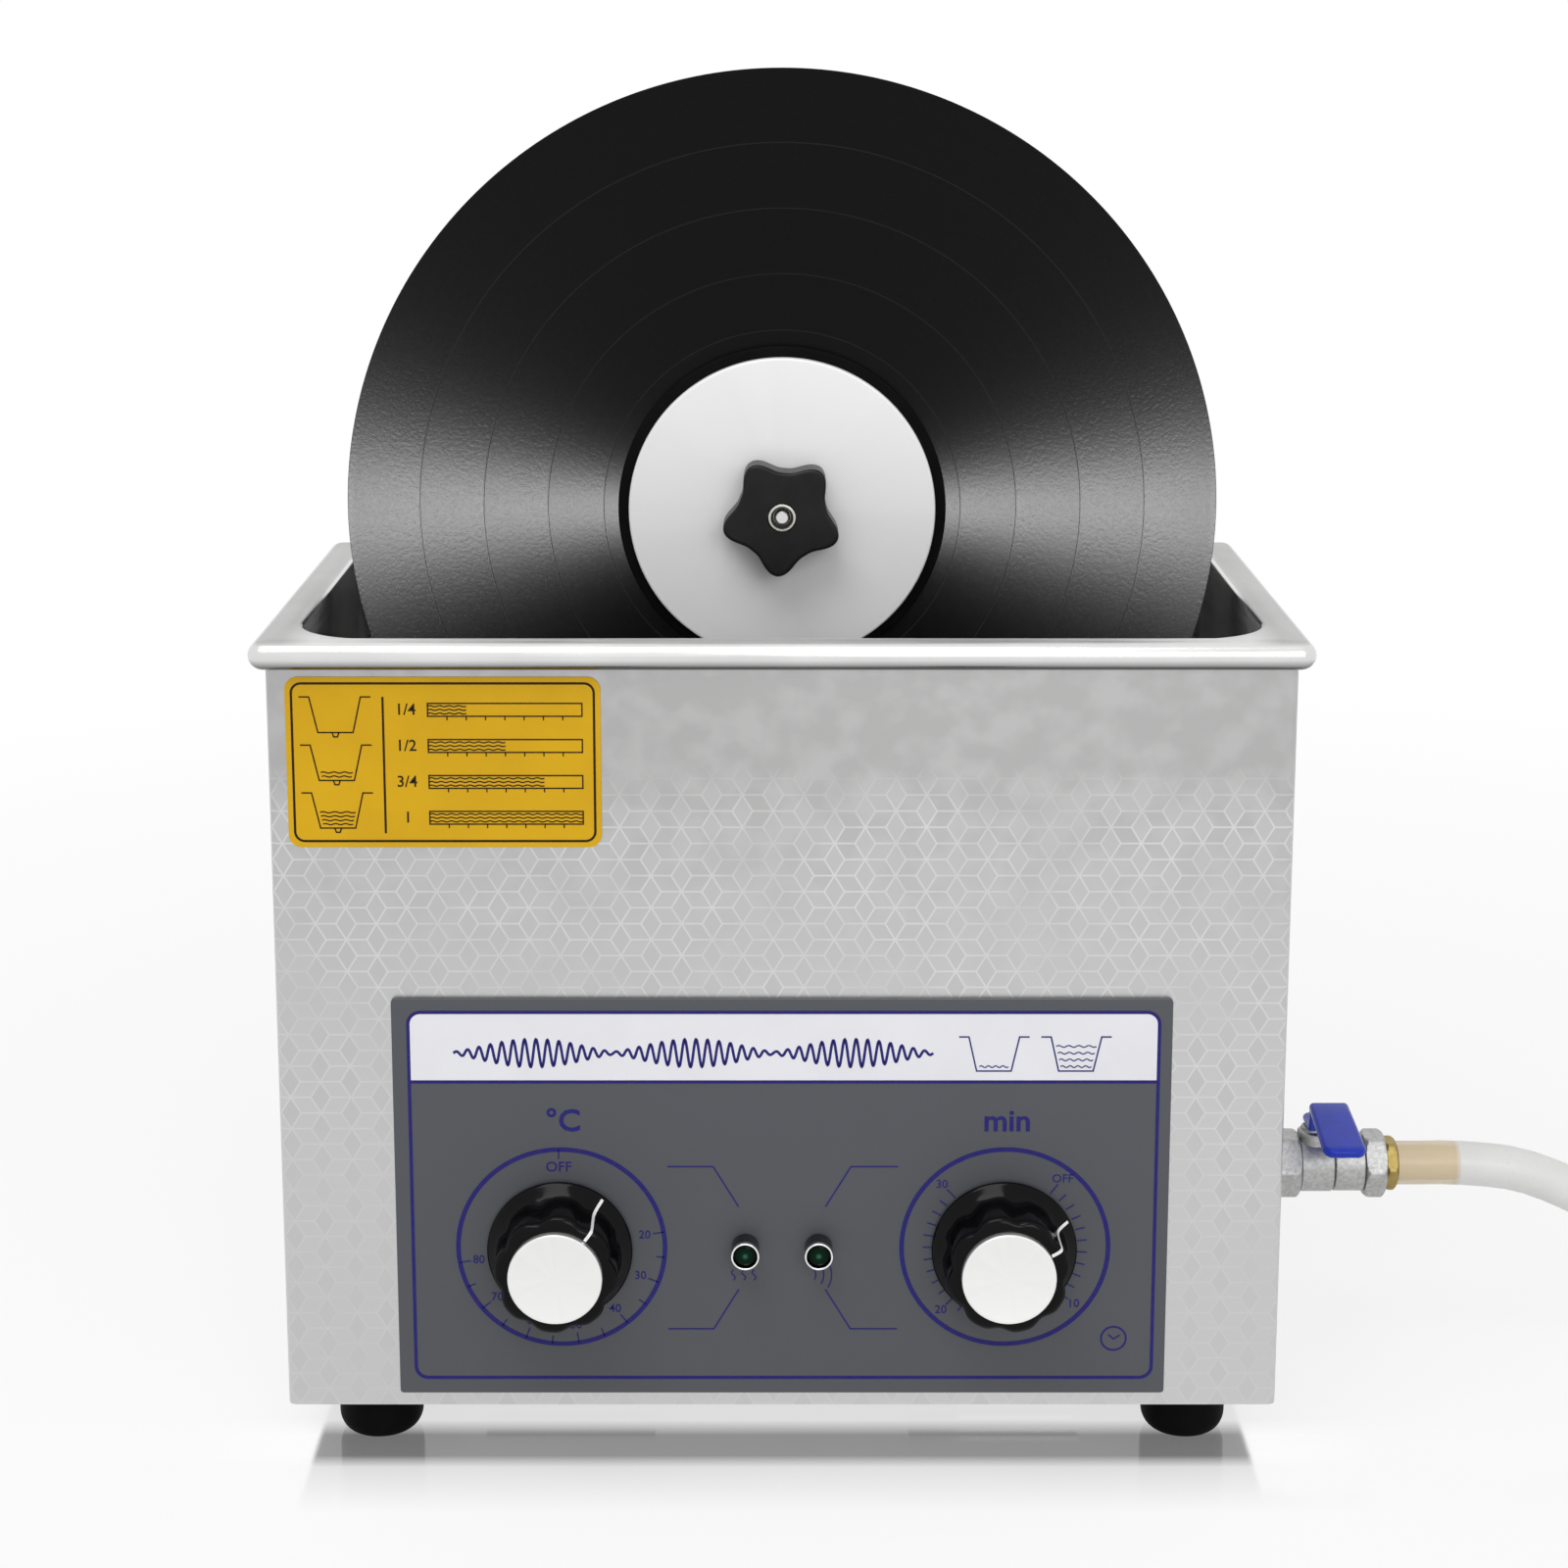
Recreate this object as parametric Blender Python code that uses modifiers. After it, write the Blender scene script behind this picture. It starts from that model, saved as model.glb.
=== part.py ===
# A bench-top ultrasonic bath with a motor-driven spindle that turns a 12-inch record in its water.
# Metres, +Z up, the front towards -Y. The floor is Z = 0 and the box of the model is centred on X = Y = 0.
# Places below are measured from the middle of the tank, and one empty then centres the whole model.

import math

import bmesh
import bpy
from mathutils import Matrix, Vector

PRODUCT = "record_cleaner"

# Fits
SEAT_GAP = 0.0003
RUNNING_GAP = 0.0008
CUT_OVERRUN = 0.002
SHEET = 0.001

# Housing shell, a folded sleeve, with its bottom plate
BODY_LENGTH = 0.328
BODY_DEPTH = 0.176
BODY_BASE = 0.021
FOLD_RADIUS = 0.0025
SHELL_TOP_GAP = 0.0007
BOTTOM_LIP = 0.010
BOTTOM_VENT_LENGTH = 0.060
BOTTOM_VENT_WIDTH = 0.004
BOTTOM_VENT_PITCH = 0.012
BOTTOM_VENT_COUNT = 5
BOTTOM_VENT_OFFSET = 0.075
REAR_VENT_LENGTH = 0.052
REAR_VENT_WIDTH = 0.004
REAR_VENT_PITCH = 0.010
REAR_VENT_COUNT = 6
REAR_VENT_X = 0.095
REAR_VENT_Z = 0.042

# Tank, drawn from one sheet with a rolled rim
TANK_LENGTH = 0.311
TANK_WIDTH = 0.168
TANK_DEPTH = 0.155
TANK_CORNER = 0.026
TANK_FLOOR_RADIUS = 0.012
RIM_TOP = 0.281
RIM_WIDTH = 0.0095
RIM_END_EXTRA = 0.0040
RIM_EDGE = 0.0018
RIM_ROLL = 0.0046
RIM_CORNER = 0.008
RIM_CROWN = 0.0006

# Feet
FOOT_RADIUS = 0.0142
FOOT_TREAD_RADIUS = 0.0092
FOOT_ROUND = 0.0065
FOOT_INSET_X = 0.0270
FOOT_INSET_Y = 0.0290

# Control panel
PANEL_LENGTH = 0.2528
PANEL_HEIGHT = 0.1363
PANEL_BASE = 0.0261
PANEL_THICKNESS = 0.0015
PANEL_CORNER = 0.001
DIAL_X = 0.0728
DIAL_Z = 0.0768
LAMP_X = 0.0120
LAMP_Z = 0.0775

# Dials: a control inside the housing, its shaft, a skirted knob and its cap
CONTROL_RADIUS = 0.017
CONTROL_DEPTH = 0.024
BUSHING_RADIUS = 0.0045
BUSHING_REACH = 0.003
SHAFT_RADIUS = 0.003
SHAFT_REACH = 0.0115
SHAFT_SUNK = 0.020
KNOB_HEIGHT = 0.025
SKIRT_RADIUS = 0.0238
SKIRT_EDGE = 0.0018
GRIP_FOOT_RADIUS = 0.0196
GRIP_FOOT_HEIGHT = 0.0060
GRIP_FRONT_RADIUS = 0.0199
GRIP_EDGE_ROUND = 0.0008
GRIP_LOBES = 8
GRIP_LOBE_DEPTH = 0.0015
GRIP_LOBE_TURN = math.radians(-13)
KNOB_RECESS_RADIUS = 0.0085
KNOB_RECESS_DEPTH = 0.0035
CAP_RADIUS = 0.0152
CAP_THICKNESS = 0.0040
CAP_SUNK = 0.0015
CAP_CHAMFER = 0.0004
TEMPERATURE_POINTER = math.radians(38)
TIME_POINTER = math.radians(62.7)

# Signal lamps
BEZEL_RADIUS = 0.00475
BEZEL_HEIGHT = 0.0085
BEZEL_LIP = 0.0009
BEZEL_NECK_RADIUS = 0.0037
BEZEL_NECK_DEPTH = 0.012
LENS_RADIUS = 0.00355
LENS_SEAT_DEPTH = 0.0045
LENS_DOME = 0.0014

# Transducers and heater under the tank floor
TRANSDUCER_COUNT = 3
TRANSDUCER_SPACING = 0.085
TRANSDUCER_Y = 0.022
TRANSDUCER_SHIFT_X = -0.035
TRANSDUCER_HORN_RADIUS = 0.022
TRANSDUCER_NECK_RADIUS = 0.0145
TRANSDUCER_HORN_HEIGHT = 0.016
TRANSDUCER_RING_RADIUS = 0.0165
TRANSDUCER_RING_HEIGHT = 0.010
TRANSDUCER_TAIL_HEIGHT = 0.014
HEATER_LENGTH = 0.220
HEATER_WIDTH = 0.038
HEATER_THICKNESS = 0.003
HEATER_X = -0.020
HEATER_Y = -0.040

# Drain: a strainer in the tank floor, an elbow and a pipe through the wall
DRAIN_X = 0.118
DRAIN_DROP = 0.0551
STRAINER_RADIUS = 0.0135
STRAINER_HEIGHT = 0.0018
DRAIN_NECK_RADIUS = 0.0085
DRAIN_NUT_RADIUS = 0.0125
DRAIN_NUT_HEIGHT = 0.005
PIPE_RADIUS = 0.0070
DRAIN_BORE = 0.0045

# Ball valve, along +X from the wall of the shell
LOCKNUT_FLATS = 0.0205
LOCKNUT_LENGTH = 0.0045
VALVE_NECK_RADIUS = 0.0088
VALVE_NECK_LENGTH = 0.0045
INLET_HEX_FLATS = 0.0214
INLET_HEX_END = 0.0203
HEX_CHAMFER = 0.0008
VALVE_RADIUS = 0.0100
VALVE_SEAM = 0.0325
VALVE_END_RADIUS = 0.0098
OUTLET_HEX_START = 0.0433
OUTLET_HEX_END = 0.0506
OUTLET_HEX_FLATS = 0.0214
BALL_X = 0.0285
BALL_RADIUS = 0.0072
WAY_RADIUS = 0.0046
PIPE_SOCKET_DEPTH = 0.0125
BARB_SOCKET_DEPTH = 0.0080
BARB_SPIGOT_RADIUS = 0.0064
BONNET_RADIUS = 0.0060
BONNET_SHIFT = 0.0025
BONNET_TOP = 0.0140
BONNET_ROOT = 0.0078
STEM_RADIUS = 0.0026
STEM_TOP = 0.0213
LEVER_NUT_FLATS = 0.0080
LEVER_NUT_HEIGHT = 0.0037
LEVER_ROOT_THICKNESS = 0.0022
LEVER_GRIP_THICKNESS = 0.0034
LEVER_GRIP_TOP = 0.0274
LEVER_TIP_TOP = 0.0230
LEVER_LENGTH = 0.0470
LEVER_ROOT_TAIL = 0.0068
LEVER_BEND_START = 0.0072
LEVER_BEND_END = 0.0116
LEVER_ROOT_WIDTH = 0.0120
LEVER_BEND_WIDTH = 0.0138
LEVER_WIDTH = 0.0149
LEVER_TIP_ROUND = 0.0042
LEVER_EDGE_SHARE = 0.45
LEVER_TAIL_SHARES = (0.55, 0.25)
LEVER_TIP_SHARES = (0.3, 0.7)

# Brass hose barb
BARB_HEX_FLATS = 0.0170
BARB_HEX_LENGTH = 0.0041
BARB_LENGTH = 0.0226
BARB_RADIUS = 0.0060
BARB_ROOT_RADIUS = 0.0054
BARB_RIDGES = 4

# Drain hose. Its free stretch follows the route, and what is left lies coiled on the floor.
HOSE_RADIUS = 0.00775
HOSE_FIT = 0.0003
HOSE_STEP = 0.030
COIL_OUTER_RADIUS = 0.0800
COIL_TURNS = 1.82
COIL_LOOP_POINTS = 24
COIL_TURN_GAP = 0.0009
# The hand-chosen route from the face of the brass nut: out along X and down to the floor
HOSE_ROUTE = (
    (0.0000, 0.0000, 0.0000),
    (0.0118, 0.0000, 0.0000),
    (0.0236, 0.0000, -0.0001),
    (0.0480, 0.0000, -0.0037),
    (0.0800, 0.0000, -0.0190),
    (0.1110, 0.0000, -0.0418),
    (0.1420, 0.0000, -0.0588),
    (0.1720, 0.0000, -0.0629),
    (0.1850, 0.0000, -0.0629),
)

# Power inlet and rocker switch in the rear wall
INLET_X = -0.105
INLET_Z = 0.060
INLET_FLANGE = (0.0310, 0.0240, 0.0025)
INLET_BODY = (0.0272, 0.0196, 0.0240)
INLET_MOUTH = (0.0238, 0.0158, 0.0200)
INLET_CORNER = 0.0030
INLET_PIN = (0.0020, 0.0040, 0.0150)
INLET_PIN_PITCH = 0.0070
INLET_PIN_DROP = 0.0020
PIN_SUNK = 0.0005
SWITCH_X = -0.062
SWITCH_FLANGE = (0.0210, 0.0290, 0.0020)
SWITCH_BODY = (0.0182, 0.0252, 0.0130)
SWITCH_WINDOW = (0.0130, 0.0200)
SWITCH_CORNER = 0.0010
SWITCH_AXIS_DEPTH = 0.0015
ROCKER_RADIUS = 0.0095
ROCKER_BACK = 0.0045
ROCKER_FACE_SHARES = (0.34, 0.94, 0.22)
ROCKER_TILT = math.radians(12)

# Spindle and clamp, along Y, with the record standing across the tank
SPINDLE_RISE = 0.025
RECORD_Y = 0.0140
RECORD_RADIUS = 0.1508
RECORD_BODY = 0.0020
RECORD_EDGE = 0.0024
RECORD_LABEL = 0.0023
RECORD_LABEL_RADIUS = 0.0500
RECORD_BEAD = 0.0040
RECORD_BEAD_ROUND = 0.0006
RECORD_HOLE_RADIUS = 0.00362
ROD_RADIUS = 0.0033
THREAD_RADIUS = 0.0025
CLAMP_DISC_RADIUS = 0.0530
CLAMP_DISC_THICKNESS = 0.0030
CLAMP_DISC_ROUND = 0.0008
CLAMP_HUB_RADIUS = 0.0490
CLAMP_HUB_HEIGHT = 0.0016
SEAL_INNER_RADIUS = 0.0495
SEAL_OUTER_RADIUS = 0.05675
SEAL_THICKNESS = 0.0020
SEAL_ROUND = 0.0006
REAR_HUB_RADIUS = 0.0095
REAR_HUB_LENGTH = 0.0120
WASHER_RADIUS = 0.0110
WASHER_THICKNESS = 0.0010
STAR_RADIUS = 0.0206
STAR_WAIST_RADIUS = 0.0138
STAR_LOBES = 5
STAR_THICKNESS = 0.0130
STAR_EDGE = 0.0012
STAR_TURN = math.radians(4.5)
STAR_POINTS = 50
INSERT_RADIUS = 0.0048
INSERT_MOUTH_RADIUS = 0.0039
INSERT_MOUTH_DEPTH = 0.0025
ROD_SHORT_OF_KNOB = 0.0005

# Drive unit: a bracket hooked over the rear rim, the motor case on it and two clamp screws
BRACKET_LENGTH = 0.136
BRACKET_SHEET = 0.0020
BRACKET_INNER_LEG = 0.0190
BRACKET_OUTER_LEG = 0.0140
BRACKET_REACH = 0.0085
CASE_LENGTH = 0.0760
CASE_HEIGHT = 0.0500
CASE_DEPTH = 0.0540
CASE_OVERHANG = 0.0005
CASE_ROUND = 0.0050
COVER_THICKNESS = 0.0030
BUSH_RADIUS = 0.0062
BUSH_FLANGE_RADIUS = 0.0090
BUSH_FLANGE = 0.0015
BUSH_LENGTH = 0.0140
ROD_SUNK = 0.0340
JACK_X = 0.0220
JACK_DROP = 0.0100
JACK_RADIUS = 0.0042
JACK_FLANGE_RADIUS = 0.0060
JACK_FLANGE = 0.0012
JACK_LENGTH = 0.0120
JACK_MOUTH_RADIUS = 0.0032
JACK_MOUTH_DEPTH = 0.0090
JACK_PIN_RADIUS = 0.0010
JACK_PIN_SHORT = 0.0015
CLAMP_SCREW_X = 0.0540
CLAMP_SCREW_DROP = 0.0070
PAD_RADIUS = 0.0060
PAD_THICKNESS = 0.0020
SCREW_RADIUS = 0.0030
SCREW_LENGTH = 0.0200
HEAD_RADIUS = 0.0085
HEAD_LENGTH = 0.0100
HEAD_LOBES = 8
HEAD_LOBE_DEPTH = 0.0005
HEAD_CHAMFER = 0.0010

# Facets
CORNER_STEPS = 5
FOLD_STEPS = 2
ROUND_STEPS = 32
LARGE_STEPS = 64
DISC_STEPS = 40
SMALL_STEPS = 16
SECTION_POINTS = 24
NUT_POINTS = 12
KNOB_POINTS = 40
ROUTE_STEPS = 16
GAP_SAMPLES = 8
MERGE_DISTANCE = 0.00001

# Looks: colour, roughness, metallic
LOOKS = {
    "satin steel": ((0.55, 0.55, 0.54), 0.38, 1.0),
    "bright steel": ((0.70, 0.70, 0.69), 0.18, 1.0),
    "cast steel": ((0.42, 0.42, 0.42), 0.42, 1.0),
    "chrome": ((0.80, 0.80, 0.80), 0.10, 1.0),
    "spun aluminium": ((0.86, 0.86, 0.85), 0.30, 1.0),
    "satin aluminium": ((0.78, 0.78, 0.78), 0.40, 0.6),
    "brass": ((0.69, 0.46, 0.08), 0.28, 1.0),
    "grey panel": ((0.093, 0.102, 0.112), 0.55, 0.0),
    "gloss black": ((0.012, 0.012, 0.013), 0.14, 0.0),
    "matte black": ((0.016, 0.016, 0.017), 0.50, 0.0),
    "vinyl": ((0.010, 0.010, 0.010), 0.28, 0.0),
    "rubber": ((0.014, 0.014, 0.014), 0.80, 0.0),
    "blue dip": ((0.030, 0.045, 0.450), 0.25, 0.0),
    "green lens": ((0.004, 0.050, 0.030), 0.08, 0.0),
    "milky hose": ((0.75, 0.75, 0.74), 0.30, 0.0),
    "ceramic": ((0.60, 0.55, 0.45), 0.60, 0.0),
    "heater mat": ((0.45, 0.10, 0.03), 0.70, 0.0),
}

# Which way a turned or lofted piece's own +Z points
UP = (0, 0, 0)
TO_FRONT = (math.pi / 2, 0, 0)
TO_REAR = (-math.pi / 2, 0, 0)
TO_RIGHT = (0, math.pi / 2, 0)

# Sizes worked out from those above
HALF_TANK = (TANK_LENGTH / 2, TANK_WIDTH / 2)
TANK_FLOOR = RIM_TOP - TANK_DEPTH
TANK_UNDERSIDE = TANK_FLOOR - SHEET
DRAIN_PIPE_Z = TANK_FLOOR - DRAIN_DROP
SPINDLE_Z = RIM_TOP + SPINDLE_RISE
CLAMP_SCREW_Z = RIM_TOP - CLAMP_SCREW_DROP
RIM_HALF_LENGTH = HALF_TANK[0] + RIM_WIDTH + RIM_END_EXTRA
RIM_HALF_WIDTH = HALF_TANK[1] + RIM_WIDTH
WALL_X = BODY_LENGTH / 2
WALL_Y = BODY_DEPTH / 2
SHELL_TOP = RIM_TOP - RIM_CROWN - SHEET - SHELL_TOP_GAP
PANEL_FRONT = WALL_Y + SEAT_GAP + PANEL_THICKNESS
PANEL_MIDDLE = PANEL_BASE + PANEL_HEIGHT / 2
CONTROL_FACE = PANEL_THICKNESS + SHEET + 2 * SEAT_GAP
LEVER_ROOT_MIDDLE = BONNET_TOP + SEAT_GAP + LEVER_ROOT_THICKNESS / 2
LEVER_GRIP_MIDDLE = LEVER_GRIP_TOP - LEVER_GRIP_THICKNESS / 2
LEVER_TIP_MIDDLE = LEVER_TIP_TOP - LEVER_GRIP_THICKNESS / 2
HOSE_START = WALL_X + OUTLET_HEX_END + BARB_HEX_LENGTH + 2 * SEAT_GAP
BARB_END = HOSE_START + BARB_LENGTH
CASE_FRONT = HALF_TANK[1] - SEAT_GAP - BRACKET_SHEET + CASE_OVERHANG
CASE_BASE = RIM_TOP + 2 * SEAT_GAP + BRACKET_SHEET
COVER_FRONT = CASE_FRONT + CASE_DEPTH + SEAT_GAP
JACK_REAR = COVER_FRONT + COVER_THICKNESS + SEAT_GAP + JACK_FLANGE
BRACKET_REAR = RIM_HALF_WIDTH + BRACKET_REACH
CENTRE_X = (BARB_END - RIM_HALF_LENGTH) / 2
CENTRE_Y = (JACK_REAR - PANEL_FRONT - KNOB_HEIGHT) / 2


def clear_scene():
    for old in list(bpy.data.objects):
        bpy.data.objects.remove(old, do_unlink=True)


def new_collection(name):
    made = bpy.data.collections.new(name)
    bpy.context.scene.collection.children.link(made)
    return made


def material_for(name, look):
    colour, roughness, metallic = LOOKS[look]
    made = bpy.data.materials.new(name + "_finish")
    made.use_nodes = True
    shader = made.node_tree.nodes["Principled BSDF"]
    shader.inputs["Base Color"].default_value = (*colour, 1)
    shader.inputs["Roughness"].default_value = roughness
    shader.inputs["Metallic"].default_value = metallic
    made.diffuse_color = (*colour, 1)
    return made


def empty(name, parent, location=(0, 0, 0), rotation=UP):
    made = bpy.data.objects.new(name, None)
    parts.objects.link(made)
    made.parent = parent
    made.location = location
    made.rotation_euler = rotation
    return made


def add(name, mesh, look, parent, location=(0, 0, 0), rotation=UP):
    made = bpy.data.objects.new(name, mesh)
    parts.objects.link(made)
    mesh.materials.append(material_for(name, look))
    made.parent = parent
    made.location = location
    made.rotation_euler = rotation
    return made


def add_cutter(name, mesh, parent, location=(0, 0, 0), rotation=UP):
    made = bpy.data.objects.new(name, mesh)
    cutters.objects.link(made)
    made.parent = parent
    made.location = location
    made.rotation_euler = rotation
    made.hide_render = True
    made.display_type = "WIRE"
    return made


def to_mesh(name, work):
    bmesh.ops.recalc_face_normals(work, faces=work.faces)
    mesh = bpy.data.meshes.new(name)
    work.to_mesh(mesh)
    work.free()
    mesh.shade_smooth()
    mesh.set_sharp_from_angle(angle=math.radians(32))
    return mesh


def box_mesh(name, size, centres=((0, 0, 0),)):
    work = bmesh.new()
    for centre in centres:
        bmesh.ops.create_cube(work, size=1, matrix=Matrix.Translation(centre) @ Matrix.Diagonal((*size, 1)))
    return to_mesh(name, work)


def cylinder_mesh(name, radius, low, high, steps=SMALL_STEPS, centres=((0, 0),)):
    work = bmesh.new()
    for x, y in centres:
        bmesh.ops.create_cone(
            work, cap_ends=True, segments=steps, radius1=radius, radius2=radius, depth=high - low,
            matrix=Matrix.Translation((x, y, (low + high) / 2)),
        )
    return to_mesh(name, work)


def prism_mesh(name, outline, low, high):
    work = bmesh.new()
    face = work.faces.new([work.verts.new((x, y, low)) for x, y in outline])
    pushed = bmesh.ops.extrude_face_region(work, geom=[face])["geom"]
    moved = [item for item in pushed if isinstance(item, bmesh.types.BMVert)]
    bmesh.ops.translate(work, verts=moved, vec=(0, 0, high - low))
    return to_mesh(name, work)


def loft_mesh(name, rings, looped=False):
    work = bmesh.new()
    rows = [[work.verts.new(point) for point in ring] for ring in rings]
    pairs = list(zip(rows, rows[1:]))
    if looped:
        pairs.append((rows[-1], rows[0]))
    else:
        work.faces.new(rows[0])
        work.faces.new(rows[-1])
    for low, high in pairs:
        for here in range(len(low)):
            following = (here + 1) % len(low)
            work.faces.new((low[here], low[following], high[following], high[here]))
    return to_mesh(name, work)


def turned(name, profile, look, parent, location=(0, 0, 0), rotation=UP, steps=ROUND_STEPS):
    # A profile of (radius, height) points. One that leaves the axis alone is closed into a ring.
    mesh = bpy.data.meshes.new(name)
    edges = [(first, first + 1) for first in range(len(profile) - 1)]
    if profile[0][0] > 0:
        edges.append((len(profile) - 1, 0))
    mesh.from_pydata([(radius, 0, height) for radius, height in profile], edges, [])
    made = add(name, mesh, look, parent, location, rotation)
    screw = made.modifiers.new("turn", "SCREW")
    screw.steps = steps
    screw.render_steps = steps
    screw.use_merge_vertices = True
    screw.merge_threshold = MERGE_DISTANCE
    screw.use_smooth_shade = True
    return made


def boolean(target, cutter, operation="DIFFERENCE"):
    modifier = target.modifiers.new(cutter.name, "BOOLEAN")
    modifier.operation = operation
    modifier.object = cutter


def soften(target, width, segments=2):
    modifier = target.modifiers.new("edges", "BEVEL")
    modifier.width = width
    modifier.segments = segments
    modifier.limit_method = "ANGLE"
    modifier.angle_limit = math.radians(40)


def rounded_rectangle(half_x, half_y, radius, steps=CORNER_STEPS):
    points = []
    for corner, (side_x, side_y) in enumerate(((1, 1), (-1, 1), (-1, -1), (1, -1))):
        for step in range(steps + 1):
            angle = (corner + step / steps) * math.pi / 2
            points.append((
                side_x * (half_x - radius) + radius * math.cos(angle),
                side_y * (half_y - radius) + radius * math.sin(angle),
            ))
    return points


def arc(centre, radius, start, end, steps=3):
    angles = [math.radians(start + (end - start) * step / steps) for step in range(steps + 1)]
    return [(centre[0] + radius * math.cos(a), centre[1] + radius * math.sin(a)) for a in angles]


def section(radius_at, height, count=SECTION_POINTS):
    # A ring of points at one height whose radius is a number or a function of the angle
    ring = []
    for step in range(count):
        angle = 2 * math.pi * step / count
        radius = radius_at(angle) if callable(radius_at) else radius_at
        ring.append((radius * math.cos(angle), radius * math.sin(angle), height))
    return ring


def hexagon(across_flats, limit=math.inf):
    def radius_at(angle):
        from_flat = (angle + math.pi / 6) % (math.pi / 3) - math.pi / 6
        return min(across_flats / 2 / math.cos(from_flat), limit)
    return radius_at


def lobed(radius, depth, lobes, turn):
    return lambda angle: radius - depth * (1 - math.cos(lobes * (angle - turn))) / 2


def hex_rings(across_flats, start, end, count=SECTION_POINTS):
    # A hexagon along the axis with its corners turned off at both ends
    corner = across_flats / 2 / math.cos(math.pi / 6) - HEX_CHAMFER
    return [
        section(hexagon(across_flats, corner), start, count),
        section(hexagon(across_flats), start + HEX_CHAMFER, count),
        section(hexagon(across_flats), end - HEX_CHAMFER, count),
        section(hexagon(across_flats, corner), end, count),
    ]


# Tank

def tank_ring(offset, height):
    # Inside, the corners follow the tank. Across the flat of the rim they tighten to the roll's, which
    # is parallel to the rim's outer edge, and the flat widens towards the tank's two ends.
    across_share = (offset - RIM_EDGE) / (RIM_WIDTH - RIM_ROLL - RIM_EDGE)
    across_share = min(max(across_share, 0), 1)
    tank_corner = TANK_CORNER + offset
    roll_corner = RIM_CORNER - RIM_WIDTH + offset
    radius = tank_corner + across_share * (roll_corner - tank_corner)
    half_length = HALF_TANK[0] + offset + across_share * RIM_END_EXTRA
    outline = rounded_rectangle(half_length, HALF_TANK[1] + offset, radius)
    return [(x, y, height) for x, y in outline]


def tank_section():
    # Offsets from the inner wall, and heights: up the outside, round the roll and down the inside
    floor_outer = TANK_FLOOR_RADIUS + SHEET
    floor_centre = (-TANK_FLOOR_RADIUS, TANK_FLOOR + TANK_FLOOR_RADIUS)
    edge = (RIM_EDGE, RIM_TOP - RIM_CROWN - RIM_EDGE)
    roll = (RIM_WIDTH - RIM_ROLL, RIM_TOP - RIM_CROWN - RIM_ROLL)
    crown_offset = (edge[0] + roll[0]) / 2
    return (
        arc(floor_centre, floor_outer, 270, 360)
        + arc(edge, RIM_EDGE - SHEET, 180, 90, 2)
        + [(crown_offset, RIM_TOP - SHEET)]
        + arc(roll, RIM_ROLL - SHEET, 90, -90, 6)
        + arc(roll, RIM_ROLL, -90, 90, 8)
        + [(crown_offset, RIM_TOP)]
        + arc(edge, RIM_EDGE, 90, 180, 2)
        + arc(floor_centre, TANK_FLOOR_RADIUS, 360, 270)
    )


def make_tank(cleaner):
    rings = [tank_ring(offset, height) for offset, height in tank_section()]
    tank = add("tank", loft_mesh("tank", rings), "bright steel", cleaner)
    hole = cylinder_mesh(
        "drain_hole", DRAIN_NECK_RADIUS + SEAT_GAP, TANK_UNDERSIDE - CUT_OVERRUN, TANK_FLOOR + CUT_OVERRUN
    )
    boolean(tank, add_cutter("drain_hole", hole, cleaner, (DRAIN_X, 0, 0)))


# Housing

def sleeve(half_x, half_y, radius, base, top):
    outer = rounded_rectangle(half_x, half_y, radius, FOLD_STEPS)
    inner = rounded_rectangle(half_x - SHEET, half_y - SHEET, radius - SHEET, FOLD_STEPS)
    return [
        [(x, y, base) for x, y in outer],
        [(x, y, top) for x, y in outer],
        [(x, y, top) for x, y in inner],
        [(x, y, base) for x, y in inner],
    ]


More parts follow.
